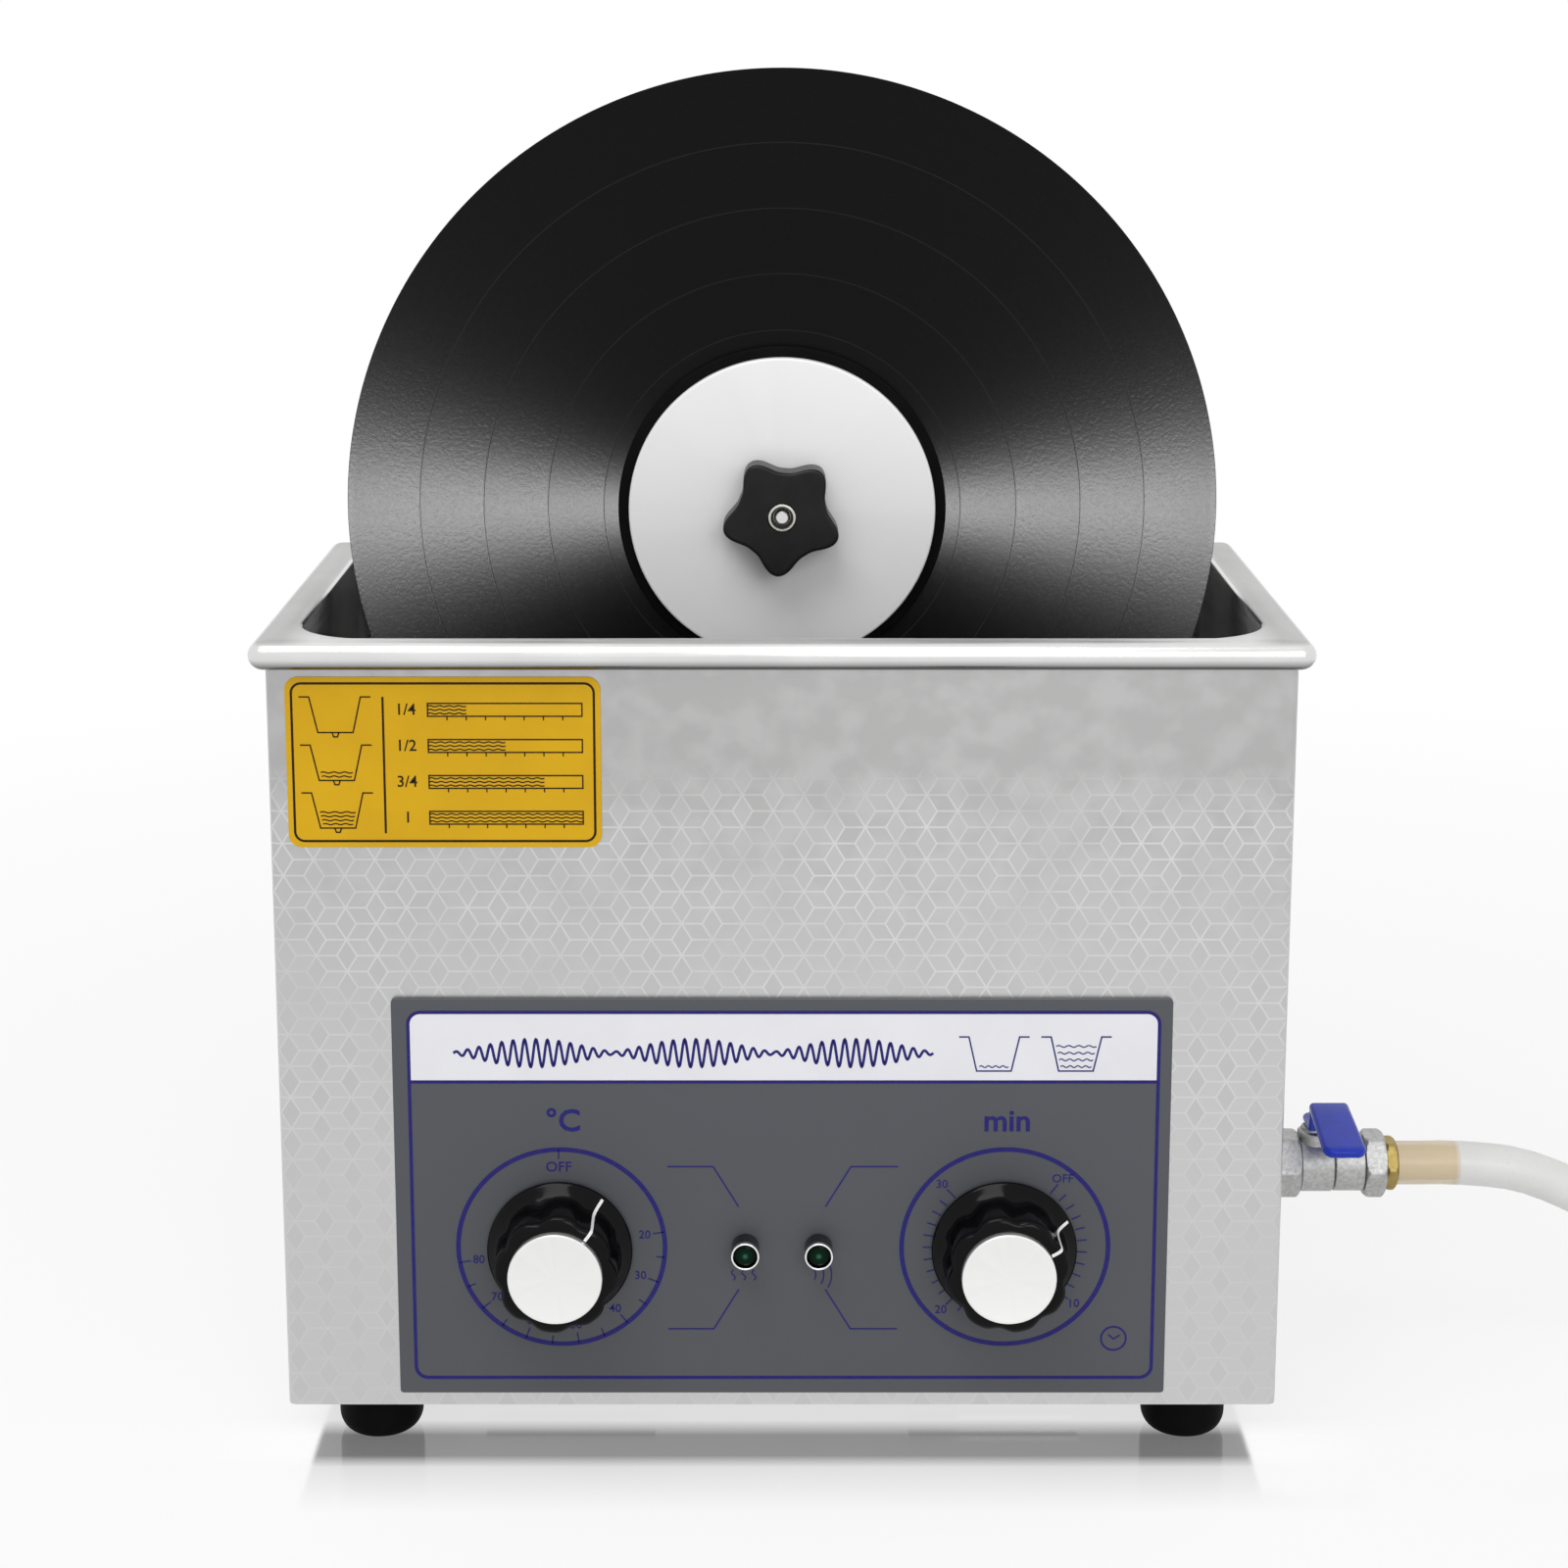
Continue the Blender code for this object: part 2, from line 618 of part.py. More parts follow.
def make_shell(cleaner):
    rings = sleeve(WALL_X, WALL_Y, FOLD_RADIUS, BODY_BASE, SHELL_TOP)
    shell = add("housing_shell", loft_mesh("housing_shell", rings, looped=True), "satin steel", cleaner)
    # The front cuts run from behind the wall to in front of the panel, which they open too.
    front = (0, -WALL_Y, 0)
    behind = SHEET + CUT_OVERRUN
    ahead = SEAT_GAP + PANEL_THICKNESS + CUT_OVERRUN
    dials = ((-DIAL_X, DIAL_Z), (DIAL_X, DIAL_Z))
    lamps = ((-LAMP_X, LAMP_Z), (LAMP_X, LAMP_Z))
    dial_holes = cylinder_mesh("dial_holes", BUSHING_RADIUS + SEAT_GAP, -behind, ahead, centres=dials)
    lamp_holes = cylinder_mesh("lamp_holes", BEZEL_NECK_RADIUS + SEAT_GAP, -behind, ahead, centres=lamps)
    front_cutters = [
        add_cutter("dial_holes", dial_holes, cleaner, front, TO_FRONT),
        add_cutter("lamp_holes", lamp_holes, cleaner, front, TO_FRONT),
    ]
    pipe_hole = cylinder_mesh("pipe_hole", PIPE_RADIUS + SEAT_GAP, -behind, CUT_OVERRUN)
    inlet = box_mesh(
        "inlet_window", (INLET_BODY[0] + 2 * SEAT_GAP, 2 * behind, INLET_BODY[1] + 2 * SEAT_GAP)
    )
    switch = box_mesh(
        "switch_window", (SWITCH_BODY[0] + 2 * SEAT_GAP, 2 * behind, SWITCH_BODY[1] + 2 * SEAT_GAP)
    )
    rows = [REAR_VENT_Z + row * REAR_VENT_PITCH for row in range(REAR_VENT_COUNT)]
    vents = box_mesh(
        "rear_vents", (REAR_VENT_LENGTH, 2 * behind, REAR_VENT_WIDTH), [(0, 0, row) for row in rows]
    )
    rear_cutters = [
        add_cutter("pipe_hole", pipe_hole, cleaner, (WALL_X, 0, DRAIN_PIPE_Z), TO_RIGHT),
        add_cutter("inlet_window", inlet, cleaner, (INLET_X, WALL_Y, INLET_Z)),
        add_cutter("switch_window", switch, cleaner, (SWITCH_X, WALL_Y, INLET_Z)),
        add_cutter("rear_vents", vents, cleaner, (REAR_VENT_X, WALL_Y, 0)),
    ]
    for cutter in front_cutters + rear_cutters:
        boolean(shell, cutter)
    return front_cutters


def make_bottom_plate(cleaner):
    half_x = WALL_X - SHEET - SEAT_GAP
    half_y = WALL_Y - SHEET - SEAT_GAP
    outer = rounded_rectangle(half_x, half_y, FOLD_RADIUS - SHEET, FOLD_STEPS)
    inner = rounded_rectangle(half_x - SHEET, half_y - SHEET, (FOLD_RADIUS - SHEET) / 2, FOLD_STEPS)
    rings = [
        [(x, y, BODY_BASE) for x, y in outer],
        [(x, y, BODY_BASE + BOTTOM_LIP) for x, y in outer],
        [(x, y, BODY_BASE + BOTTOM_LIP) for x, y in inner],
        [(x, y, BODY_BASE + SHEET) for x, y in inner],
    ]
    plate = add("bottom_plate", loft_mesh("bottom_plate", rings), "satin steel", cleaner)
    middle = (BOTTOM_VENT_COUNT - 1) / 2
    places = [
        (side * BOTTOM_VENT_OFFSET, (row - middle) * BOTTOM_VENT_PITCH, 0)
        for side in (-1, 1)
        for row in range(BOTTOM_VENT_COUNT)
    ]
    slots = box_mesh(
        "bottom_vents", (BOTTOM_VENT_LENGTH, BOTTOM_VENT_WIDTH, 2 * (SHEET + CUT_OVERRUN)), places
    )
    boolean(plate, add_cutter("bottom_vents", slots, cleaner, (0, 0, BODY_BASE)))


def make_feet(cleaner):
    top = BODY_BASE - SEAT_GAP
    rise = arc((FOOT_TREAD_RADIUS, FOOT_ROUND), FOOT_ROUND, 0, -90, 5)
    reach_share = (FOOT_RADIUS - FOOT_TREAD_RADIUS) / FOOT_ROUND
    side = [(FOOT_TREAD_RADIUS + (r - FOOT_TREAD_RADIUS) * reach_share, z) for r, z in rise]
    profile = [(0, top), (FOOT_RADIUS, top)] + side + [(0, 0)]
    for row, side_y in (("front", -1), ("rear", 1)):
        for end, side_x in (("left", -1), ("right", 1)):
            place = (side_x * (WALL_X - FOOT_INSET_X), side_y * (WALL_Y - FOOT_INSET_Y), 0)
            turned(f"foot_{row}_{end}", profile, "rubber", cleaner, place, steps=SMALL_STEPS)


# Control panel with its lamps and dials

def make_panel(cleaner, front_cutters):
    outline = rounded_rectangle(PANEL_LENGTH / 2, PANEL_HEIGHT / 2, PANEL_CORNER, 2)
    mesh = prism_mesh("control_panel", outline, 0, PANEL_THICKNESS)
    place = (0, -WALL_Y - SEAT_GAP, PANEL_MIDDLE)
    panel = add("control_panel", mesh, "grey panel", cleaner, place, TO_FRONT)
    for cutter in front_cutters:
        boolean(panel, cutter)


def make_lamp(name, side, cleaner):
    place = (side * LAMP_X, -PANEL_FRONT, LAMP_Z)
    seat = BEZEL_HEIGHT - LENS_SEAT_DEPTH
    mouth = LENS_RADIUS + SEAT_GAP
    bezel = [
        (0, seat),
        (mouth, seat),
        (mouth, BEZEL_HEIGHT - BEZEL_LIP / 2),
        (mouth + BEZEL_LIP / 2, BEZEL_HEIGHT),
        (BEZEL_RADIUS, BEZEL_HEIGHT - BEZEL_LIP / 2),
        (BEZEL_RADIUS, SEAT_GAP),
        (BEZEL_NECK_RADIUS, SEAT_GAP),
        (BEZEL_NECK_RADIUS, -BEZEL_NECK_DEPTH),
        (0, -BEZEL_NECK_DEPTH),
    ]
    turned(name + "_lamp_bezel", bezel, "chrome", cleaner, place, TO_FRONT, SMALL_STEPS)
    shoulder = BEZEL_HEIGHT - LENS_DOME
    dome = [
        (LENS_RADIUS * math.sin(angle), shoulder + LENS_DOME * math.cos(angle))
        for angle in (math.pi / 2 * step / 4 for step in range(5))
    ]
    lens = dome + [(LENS_RADIUS, seat + SEAT_GAP), (0, seat + SEAT_GAP)]
    turned(name + "_lamp_lens", lens, "green lens", cleaner, place, TO_FRONT, SMALL_STEPS)


def knob_rings(pointer):
    # From the bottom of the shaft bore out over the recess, skirt and fluted grip to the cap's seat
    turn = math.pi / 2 - pointer + GRIP_LOBE_TURN
    seat = KNOB_HEIGHT - CAP_THICKNESS
    front = seat + CAP_SUNK
    bore = SHAFT_RADIUS + SEAT_GAP

    def grip(radius, depth_share=1.0):
        return lobed(radius, depth_share * GRIP_LOBE_DEPTH, GRIP_LOBES, turn)

    stations = [
        (bore, SHAFT_REACH + SEAT_GAP),
        (bore, KNOB_RECESS_DEPTH),
        (KNOB_RECESS_RADIUS, KNOB_RECESS_DEPTH),
        (KNOB_RECESS_RADIUS, RUNNING_GAP),
        (SKIRT_RADIUS, RUNNING_GAP),
        (SKIRT_RADIUS, RUNNING_GAP + SKIRT_EDGE),
        (grip(GRIP_FOOT_RADIUS, 0.5), GRIP_FOOT_HEIGHT),
        (grip((GRIP_FOOT_RADIUS + GRIP_FRONT_RADIUS) / 2), (GRIP_FOOT_HEIGHT + front) / 2),
        (grip(GRIP_FRONT_RADIUS), front - GRIP_EDGE_ROUND),
        (CAP_RADIUS + SEAT_GAP, front),
        (CAP_RADIUS + SEAT_GAP, seat),
    ]
    return [section(radius, height, KNOB_POINTS) for radius, height in stations]


def make_dial(control, shaft, purpose, side, pointer, cleaner):
    # The control sits in the housing, and its shaft, knob and cap turn on the joint's axis.
    knob = purpose + "_knob"
    place = (side * DIAL_X, -PANEL_FRONT, DIAL_Z)
    bore = SHAFT_RADIUS + SEAT_GAP
    body = [
        (0, -SHAFT_SUNK - SEAT_GAP),
        (bore, -SHAFT_SUNK - SEAT_GAP),
        (bore, BUSHING_REACH),
        (BUSHING_RADIUS, BUSHING_REACH),
        (BUSHING_RADIUS, -CONTROL_FACE),
        (CONTROL_RADIUS, -CONTROL_FACE),
        (CONTROL_RADIUS, -CONTROL_FACE - CONTROL_DEPTH),
        (0, -CONTROL_FACE - CONTROL_DEPTH),
    ]
    turned(control, body, "cast steel", cleaner, place, TO_FRONT, SMALL_STEPS)
    axis = empty(purpose + "_dial", cleaner, place, TO_FRONT)
    rod = [(0, SHAFT_REACH), (SHAFT_RADIUS, SHAFT_REACH), (SHAFT_RADIUS, -SHAFT_SUNK), (0, -SHAFT_SUNK)]
    turned(shaft, rod, "bright steel", axis, steps=SMALL_STEPS)
    add(knob, loft_mesh(knob, knob_rings(pointer)), "gloss black", axis)
    base = KNOB_HEIGHT - CAP_THICKNESS + SEAT_GAP
    disc = [
        (0, KNOB_HEIGHT),
        (CAP_RADIUS - CAP_CHAMFER, KNOB_HEIGHT),
        (CAP_RADIUS, KNOB_HEIGHT - CAP_CHAMFER),
        (CAP_RADIUS, base),
        (0, base),
    ]
    turned(knob + "_cap", disc, "spun aluminium", axis)


# Under the tank

def make_transducers(cleaner):
    top = TANK_UNDERSIDE - SEAT_GAP
    waist = top - TRANSDUCER_HORN_HEIGHT
    tail = waist - TRANSDUCER_RING_HEIGHT
    low = tail - TRANSDUCER_TAIL_HEIGHT
    profile = [
        (0, top),
        (TRANSDUCER_HORN_RADIUS, top),
        (TRANSDUCER_NECK_RADIUS, waist),
        (TRANSDUCER_RING_RADIUS, waist),
        (TRANSDUCER_RING_RADIUS, tail),
        (TRANSDUCER_NECK_RADIUS, low),
        (0, low),
    ]
    middle = (TRANSDUCER_COUNT - 1) / 2
    for number in range(TRANSDUCER_COUNT):
        place = (TRANSDUCER_SHIFT_X + (number - middle) * TRANSDUCER_SPACING, TRANSDUCER_Y, 0)
        turned(f"transducer_{number + 1}", profile, "ceramic", cleaner, place, steps=SMALL_STEPS)


def make_heater(cleaner):
    mesh = box_mesh("heater_pad", (HEATER_LENGTH, HEATER_WIDTH, HEATER_THICKNESS))
    place = (HEATER_X, HEATER_Y, TANK_UNDERSIDE - SEAT_GAP - HEATER_THICKNESS / 2)
    add("heater_pad", mesh, "heater mat", cleaner, place)


# Drain and valve

def make_drain_fitting(cleaner):
    flange = TANK_FLOOR + SEAT_GAP
    nut_top = TANK_UNDERSIDE - SEAT_GAP
    nut_base = nut_top - DRAIN_NUT_HEIGHT
    elbow_base = DRAIN_PIPE_Z - DRAIN_NECK_RADIUS
    # From the elbow's floor up the bore, over the strainer's flange and down the outside
    profile = [
        (0, DRAIN_PIPE_Z),
        (DRAIN_BORE, DRAIN_PIPE_Z),
        (DRAIN_BORE, flange + STRAINER_HEIGHT),
        (STRAINER_RADIUS - STRAINER_HEIGHT, flange + STRAINER_HEIGHT),
        (STRAINER_RADIUS, flange),
        (DRAIN_NECK_RADIUS, flange),
        (DRAIN_NECK_RADIUS, nut_top),
        (DRAIN_NUT_RADIUS, nut_top),
        (DRAIN_NUT_RADIUS, nut_base),
        (DRAIN_NECK_RADIUS, nut_base),
        (DRAIN_NECK_RADIUS, elbow_base),
        (0, elbow_base),
    ]
    fitting = turned("drain_fitting", profile, "cast steel", cleaner, (DRAIN_X, 0, 0), steps=SMALL_STEPS)
    # The pipe ends one seat gap short of the floor of the valve's socket.
    run = WALL_X + PIPE_SOCKET_DEPTH - DRAIN_X
    pipe = cylinder_mesh("drain_pipe", PIPE_RADIUS, DRAIN_NECK_RADIUS / 2, run)
    way = cylinder_mesh("drain_way", DRAIN_BORE - SEAT_GAP, 0, run + CUT_OVERRUN)
    place = (DRAIN_X, 0, DRAIN_PIPE_Z)
    boolean(fitting, add_cutter("drain_pipe", pipe, cleaner, place, TO_RIGHT), "UNION")
    boolean(fitting, add_cutter("drain_way", way, cleaner, place, TO_RIGHT))


def make_valve_body(axis):
    neck = SEAT_GAP + LOCKNUT_LENGTH
    hex_start = neck + VALVE_NECK_LENGTH
    cavity = BALL_RADIUS + SEAT_GAP
    floor = BALL_X - cavity
    seam = VALVE_SEAM - SEAT_GAP
    socket = PIPE_RADIUS + SEAT_GAP
    socket_floor = SEAT_GAP + PIPE_SOCKET_DEPTH
    rings = (
        hex_rings(LOCKNUT_FLATS, SEAT_GAP, neck)
        + [section(VALVE_NECK_RADIUS, neck), section(VALVE_NECK_RADIUS, hex_start)]
        + hex_rings(INLET_HEX_FLATS, hex_start, INLET_HEX_END)
        + [section(VALVE_RADIUS, INLET_HEX_END), section(VALVE_RADIUS, seam)]
        + [section(cavity, seam), section(cavity, floor)]
        + [section(WAY_RADIUS, floor), section(WAY_RADIUS, socket_floor)]
        + [section(socket, socket_floor), section(socket, SEAT_GAP)]
    )
    mesh = loft_mesh("valve_body", rings, looped=True)
    body = add("valve_body", mesh, "cast steel", axis, rotation=TO_RIGHT)
    bonnet = cylinder_mesh("bonnet", BONNET_RADIUS, BONNET_ROOT, BONNET_TOP)
    stem_hole = cylinder_mesh("stem_hole", STEM_RADIUS + SEAT_GAP, BALL_RADIUS / 2, BONNET_TOP + CUT_OVERRUN)
    boolean(body, add_cutter("bonnet", bonnet, axis, (BALL_X - BONNET_SHIFT, 0, 0)), "UNION")
    boolean(body, add_cutter("stem_hole", stem_hole, axis, (BALL_X, 0, 0)))


def make_valve_end(axis):
    cavity = BALL_RADIUS + SEAT_GAP
    socket = BARB_SPIGOT_RADIUS + SEAT_GAP
    socket_floor = OUTLET_HEX_END - BARB_SOCKET_DEPTH
    rings = (
        [section(VALVE_END_RADIUS, VALVE_SEAM), section(VALVE_END_RADIUS, OUTLET_HEX_START)]
        + hex_rings(OUTLET_HEX_FLATS, OUTLET_HEX_START, OUTLET_HEX_END)
        + [section(socket, OUTLET_HEX_END), section(socket, socket_floor)]
        + [section(WAY_RADIUS, socket_floor), section(WAY_RADIUS, BALL_X + cavity)]
        + [section(cavity, BALL_X + cavity), section(cavity, VALVE_SEAM)]
    )
    add("valve_end", loft_mesh("valve_end", rings, looped=True), "cast steel", axis, rotation=TO_RIGHT)


def make_barb(axis):
    hex_start = OUTLET_HEX_END + SEAT_GAP
    hex_end = hex_start + BARB_HEX_LENGTH
    tip = hex_end + SEAT_GAP + BARB_LENGTH
    ridge = (tip - hex_end) / BARB_RIDGES
    spigot = OUTLET_HEX_END - BARB_SOCKET_DEPTH + SEAT_GAP
    rings = [section(WAY_RADIUS, spigot), section(BARB_SPIGOT_RADIUS, spigot)]
    rings += [section(BARB_SPIGOT_RADIUS, hex_start)] + hex_rings(BARB_HEX_FLATS, hex_start, hex_end)
    for number in range(BARB_RIDGES):
        foot = hex_end + number * ridge
        rings += [section(BARB_RADIUS, foot), section(BARB_ROOT_RADIUS, foot + ridge)]
    rings.append(section(WAY_RADIUS, tip))
    add("hose_barb", loft_mesh("hose_barb", rings, looped=True), "brass", axis, rotation=TO_RIGHT)


def lever_ring(forward, middle, tilt, width, thickness):
    # A rounded cross-section of the lever, square to its run towards -Y
    outline = rounded_rectangle(width / 2, thickness / 2, LEVER_EDGE_SHARE * thickness, 2)
    turn = Matrix.Rotation(tilt, 3, "X")
    centre = Vector((0, -forward, middle))
    return [centre + turn @ Vector((x, 0, z)) for x, z in outline]


def make_lever(axis):
    joint = empty("drain_lever", axis, (BALL_X, 0, 0))
    root, grip = LEVER_ROOT_THICKNESS, LEVER_GRIP_THICKNESS
    low, high, tip = LEVER_ROOT_MIDDLE, LEVER_GRIP_MIDDLE, LEVER_TIP_MIDDLE
    rise = math.atan2(high - low, LEVER_BEND_END - LEVER_BEND_START)
    droop = math.atan2(high - tip, LEVER_LENGTH - LEVER_BEND_END)
    tail_width_share, tail_run_share = LEVER_TAIL_SHARES
    round_share, tip_share = LEVER_TIP_SHARES
    stations = [
        (-LEVER_ROOT_TAIL, low, 0, tail_width_share * LEVER_ROOT_WIDTH, root),
        (-LEVER_ROOT_TAIL + tail_run_share * LEVER_ROOT_WIDTH, low, 0, LEVER_ROOT_WIDTH, root),
        (LEVER_BEND_START, low, -rise / 2, LEVER_ROOT_WIDTH, root),
        (LEVER_BEND_END, high, (droop - rise) / 2, LEVER_BEND_WIDTH, grip),
        (LEVER_LENGTH - LEVER_TIP_ROUND, tip, droop, LEVER_WIDTH, grip),
        (LEVER_LENGTH - round_share * LEVER_TIP_ROUND, tip, droop, LEVER_WIDTH - LEVER_TIP_ROUND / 2, grip),
        (LEVER_LENGTH, tip, droop, LEVER_WIDTH - 2 * LEVER_TIP_ROUND, tip_share * grip),
    ]
    lever_mesh = loft_mesh("valve_lever", [lever_ring(*station) for station in stations])
    lever = add("valve_lever", lever_mesh, "blue dip", joint)
    top = low + root / 2
    hole = cylinder_mesh("lever_hole", STEM_RADIUS + SEAT_GAP, low - root, top + CUT_OVERRUN)
    boolean(lever, add_cutter("lever_hole", hole, joint))
    nut_base = top + SEAT_GAP
    nut_top = nut_base + LEVER_NUT_HEIGHT
    nut_bore = STEM_RADIUS + 2 * SEAT_GAP
    nut_rings = [section(nut_bore, nut_base, NUT_POINTS)]
    nut_rings += hex_rings(LEVER_NUT_FLATS, nut_base, nut_top, NUT_POINTS)
    nut_rings.append(section(nut_bore, nut_top, NUT_POINTS))
    add("lever_nut", loft_mesh("lever_nut", nut_rings, looped=True), "bright steel", joint)
    foot = BALL_RADIUS + SEAT_GAP
    stem = [(0, STEM_TOP), (STEM_RADIUS, STEM_TOP), (STEM_RADIUS, foot), (0, foot)]
    turned("valve_stem", stem, "bright steel", joint, steps=SMALL_STEPS)
    work = bmesh.new()
    bmesh.ops.create_uvsphere(work, u_segments=SMALL_STEPS, v_segments=SMALL_STEPS // 2, radius=BALL_RADIUS)
    ball = add("valve_ball", to_mesh("valve_ball", work), "chrome", joint)
    way = cylinder_mesh("ball_way", WAY_RADIUS, -BALL_RADIUS - CUT_OVERRUN, BALL_RADIUS + CUT_OVERRUN)
    boolean(ball, add_cutter("ball_way", way, joint, rotation=TO_FRONT))


# Hose

def smooth_route(route, step):
    # Points at even steps along a Catmull-Rom curve through the route
    knots = [Vector(point) for point in route]
    knots = [2 * knots[0] - knots[1]] + knots + [2 * knots[-1] - knots[-2]]
    fine = []
    for before, start, end, after in zip(knots, knots[1:], knots[2:], knots[3:]):
        for part in range(ROUTE_STEPS):
            t = part / ROUTE_STEPS
            fine.append(0.5 * (
                2 * start + (end - before) * t + (2 * before - 5 * start + 4 * end - after) * t ** 2
                + (3 * start - before - 3 * end + after) * t ** 3
            ))
    fine.append(knots[-2])
    lengths = [0]
    for first, second in zip(fine, fine[1:]):
        lengths.append(lengths[-1] + (second - first).length)
    count = max(2, round(lengths[-1] / step))
    points = []
    place = 0
    for number in range(count + 1):
        wanted = lengths[-1] * number / count
        while place < len(fine) - 2 and lengths[place + 1] < wanted:
            place += 1
        span = lengths[place + 1] - lengths[place]
        points.append(fine[place].lerp(fine[place + 1], (wanted - lengths[place]) / span))
    return points


def tube_mesh(name, points, radius, resolution):
    curve = bpy.data.curves.new(name, "CURVE")
    curve.dimensions = "3D"
    curve.bevel_depth = radius
    curve.bevel_resolution = resolution
    curve.use_fill_caps = True
    spline = curve.splines.new("POLY")
    spline.points.add(len(points) - 1)
    for knot, point in zip(spline.points, points):
        knot.co = (*point, 1)
    guide = bpy.data.objects.new(name + "_guide", curve)
    cutters.objects.link(guide)
    view = bpy.context.evaluated_depsgraph_get()
    mesh = bpy.data.meshes.new_from_object(guide.evaluated_get(view))
    bpy.data.objects.remove(guide)
    work = bmesh.new()
    work.from_mesh(mesh)
    bmesh.ops.remove_doubles(work, verts=work.verts, dist=MERGE_DISTANCE)
    bpy.data.meshes.remove(mesh)
    return to_mesh(name, work)


def coil_points(start):
    # One straight diameter, then a layer that spirals in, a climb at the reversal and a layer back out
    diameter = 2 * HOSE_RADIUS
    spacing = diameter + COIL_TURN_GAP
    centre = start + Vector((diameter, COIL_OUTER_RADIUS, 0))
    sweep = 2 * math.pi * COIL_TURNS
    turning = sweep / 2
    points = [start, start + Vector((diameter / 2, 0, 0))]
    count = round(COIL_TURNS * COIL_LOOP_POINTS)
    for number in range(count + 1):
        swept = sweep * number / count
        inward = min(swept, sweep - swept) / (2 * math.pi)
        climbed = min(max((swept - turning) / math.pi + 0.5, 0), 1)
        radius = COIL_OUTER_RADIUS - spacing * inward
        angle = swept - math.pi / 2
        climb = spacing * climbed * climbed * (3 - 2 * climbed)
        points.append(centre + Vector((radius * math.cos(angle), radius * math.sin(angle), climb)))
    return points


def least_gap(points, radius, near):
    # The least distance between the tube's surface and itself, past its own neighbourhood
    samples = []
    for first, second in zip(points, points[1:]):
        samples += [first.lerp(second, part / GAP_SAMPLES) for part in range(GAP_SAMPLES)]
    samples.append(points[-1])
    lengths = [0]
    for first, second in zip(samples, samples[1:]):
        lengths.append(lengths[-1] + (second - first).length)
    least = math.inf
    for first in range(len(samples)):
        for second in range(first + 1, len(samples)):
            if lengths[second] - lengths[first] > near:
                least = min(least, (samples[second] - samples[first]).length)
    return least - 2 * radius


def make_hose(cleaner):
    floor_z = HOSE_RADIUS - DRAIN_PIPE_Z
    route = [(x, y, max(z, floor_z)) for x, y, z in HOSE_ROUTE]
    points = smooth_route(route, HOSE_STEP)
    place = (HOSE_START, 0, DRAIN_PIPE_Z)
    hose = add("drain_hose", tube_mesh("drain_hose", points, HOSE_RADIUS, 3), "milky hose", cleaner, place)
    bore = cylinder_mesh("hose_bore", BARB_RADIUS + HOSE_FIT, -CUT_OVERRUN, BARB_LENGTH + HOSE_FIT)
    boolean(hose, add_cutter("hose_bore", bore, cleaner, place, TO_RIGHT))
    coil = coil_points(points[-1] + Vector((SEAT_GAP, 0, 0)))
    add("hose_coil", tube_mesh("hose_coil", coil, HOSE_RADIUS, 1), "milky hose", cleaner, place)
    length = sum((second - first).length for first, second in zip(points + coil, (points + coil)[1:]))
    near = math.pi * COIL_OUTER_RADIUS
    gap = least_gap(points + coil, HOSE_RADIUS, near)
    print(f"drain hose: length {length:.3f} m, least gap to itself {gap * 1000:.2f} mm")


# Rear wall

def socket_rings(flange, body, mouth, corner):
    def ring(size, height, radius):
        return [(x, y, height) for x, y in rounded_rectangle(size[0] / 2, size[1] / 2, radius, 3)]
    return [
        ring(body, -body[2], corner),
        ring(body, SEAT_GAP, corner),
        ring(flange, SEAT_GAP, corner),
        ring(flange, SEAT_GAP + flange[2], corner),
        ring(mouth, SEAT_GAP + flange[2], corner / 2),
        ring(mouth, SEAT_GAP + flange[2] - mouth[2], corner / 2),
    ]


def make_inlet(cleaner):
    rings = socket_rings(INLET_FLANGE, INLET_BODY, INLET_MOUTH, INLET_CORNER)
    place = (INLET_X, WALL_Y, INLET_Z)
    inlet = add("power_inlet", loft_mesh("power_inlet", rings), "matte black", cleaner, place, TO_REAR)
    floor = SEAT_GAP + INLET_FLANGE[2] - INLET_MOUTH[2]
    middle = floor - PIN_SUNK + INLET_PIN[2] / 2
    # The earth pin stands a little off the line of the other two.
    centres = [
        (-INLET_PIN_PITCH, INLET_PIN_DROP, middle),
        (0, -INLET_PIN_DROP, middle),
        (INLET_PIN_PITCH, INLET_PIN_DROP, middle),
    ]
    pins = box_mesh("inlet_pins", INLET_PIN, centres)
    boolean(inlet, add_cutter("inlet_pins", pins, cleaner, place, TO_REAR), "UNION")


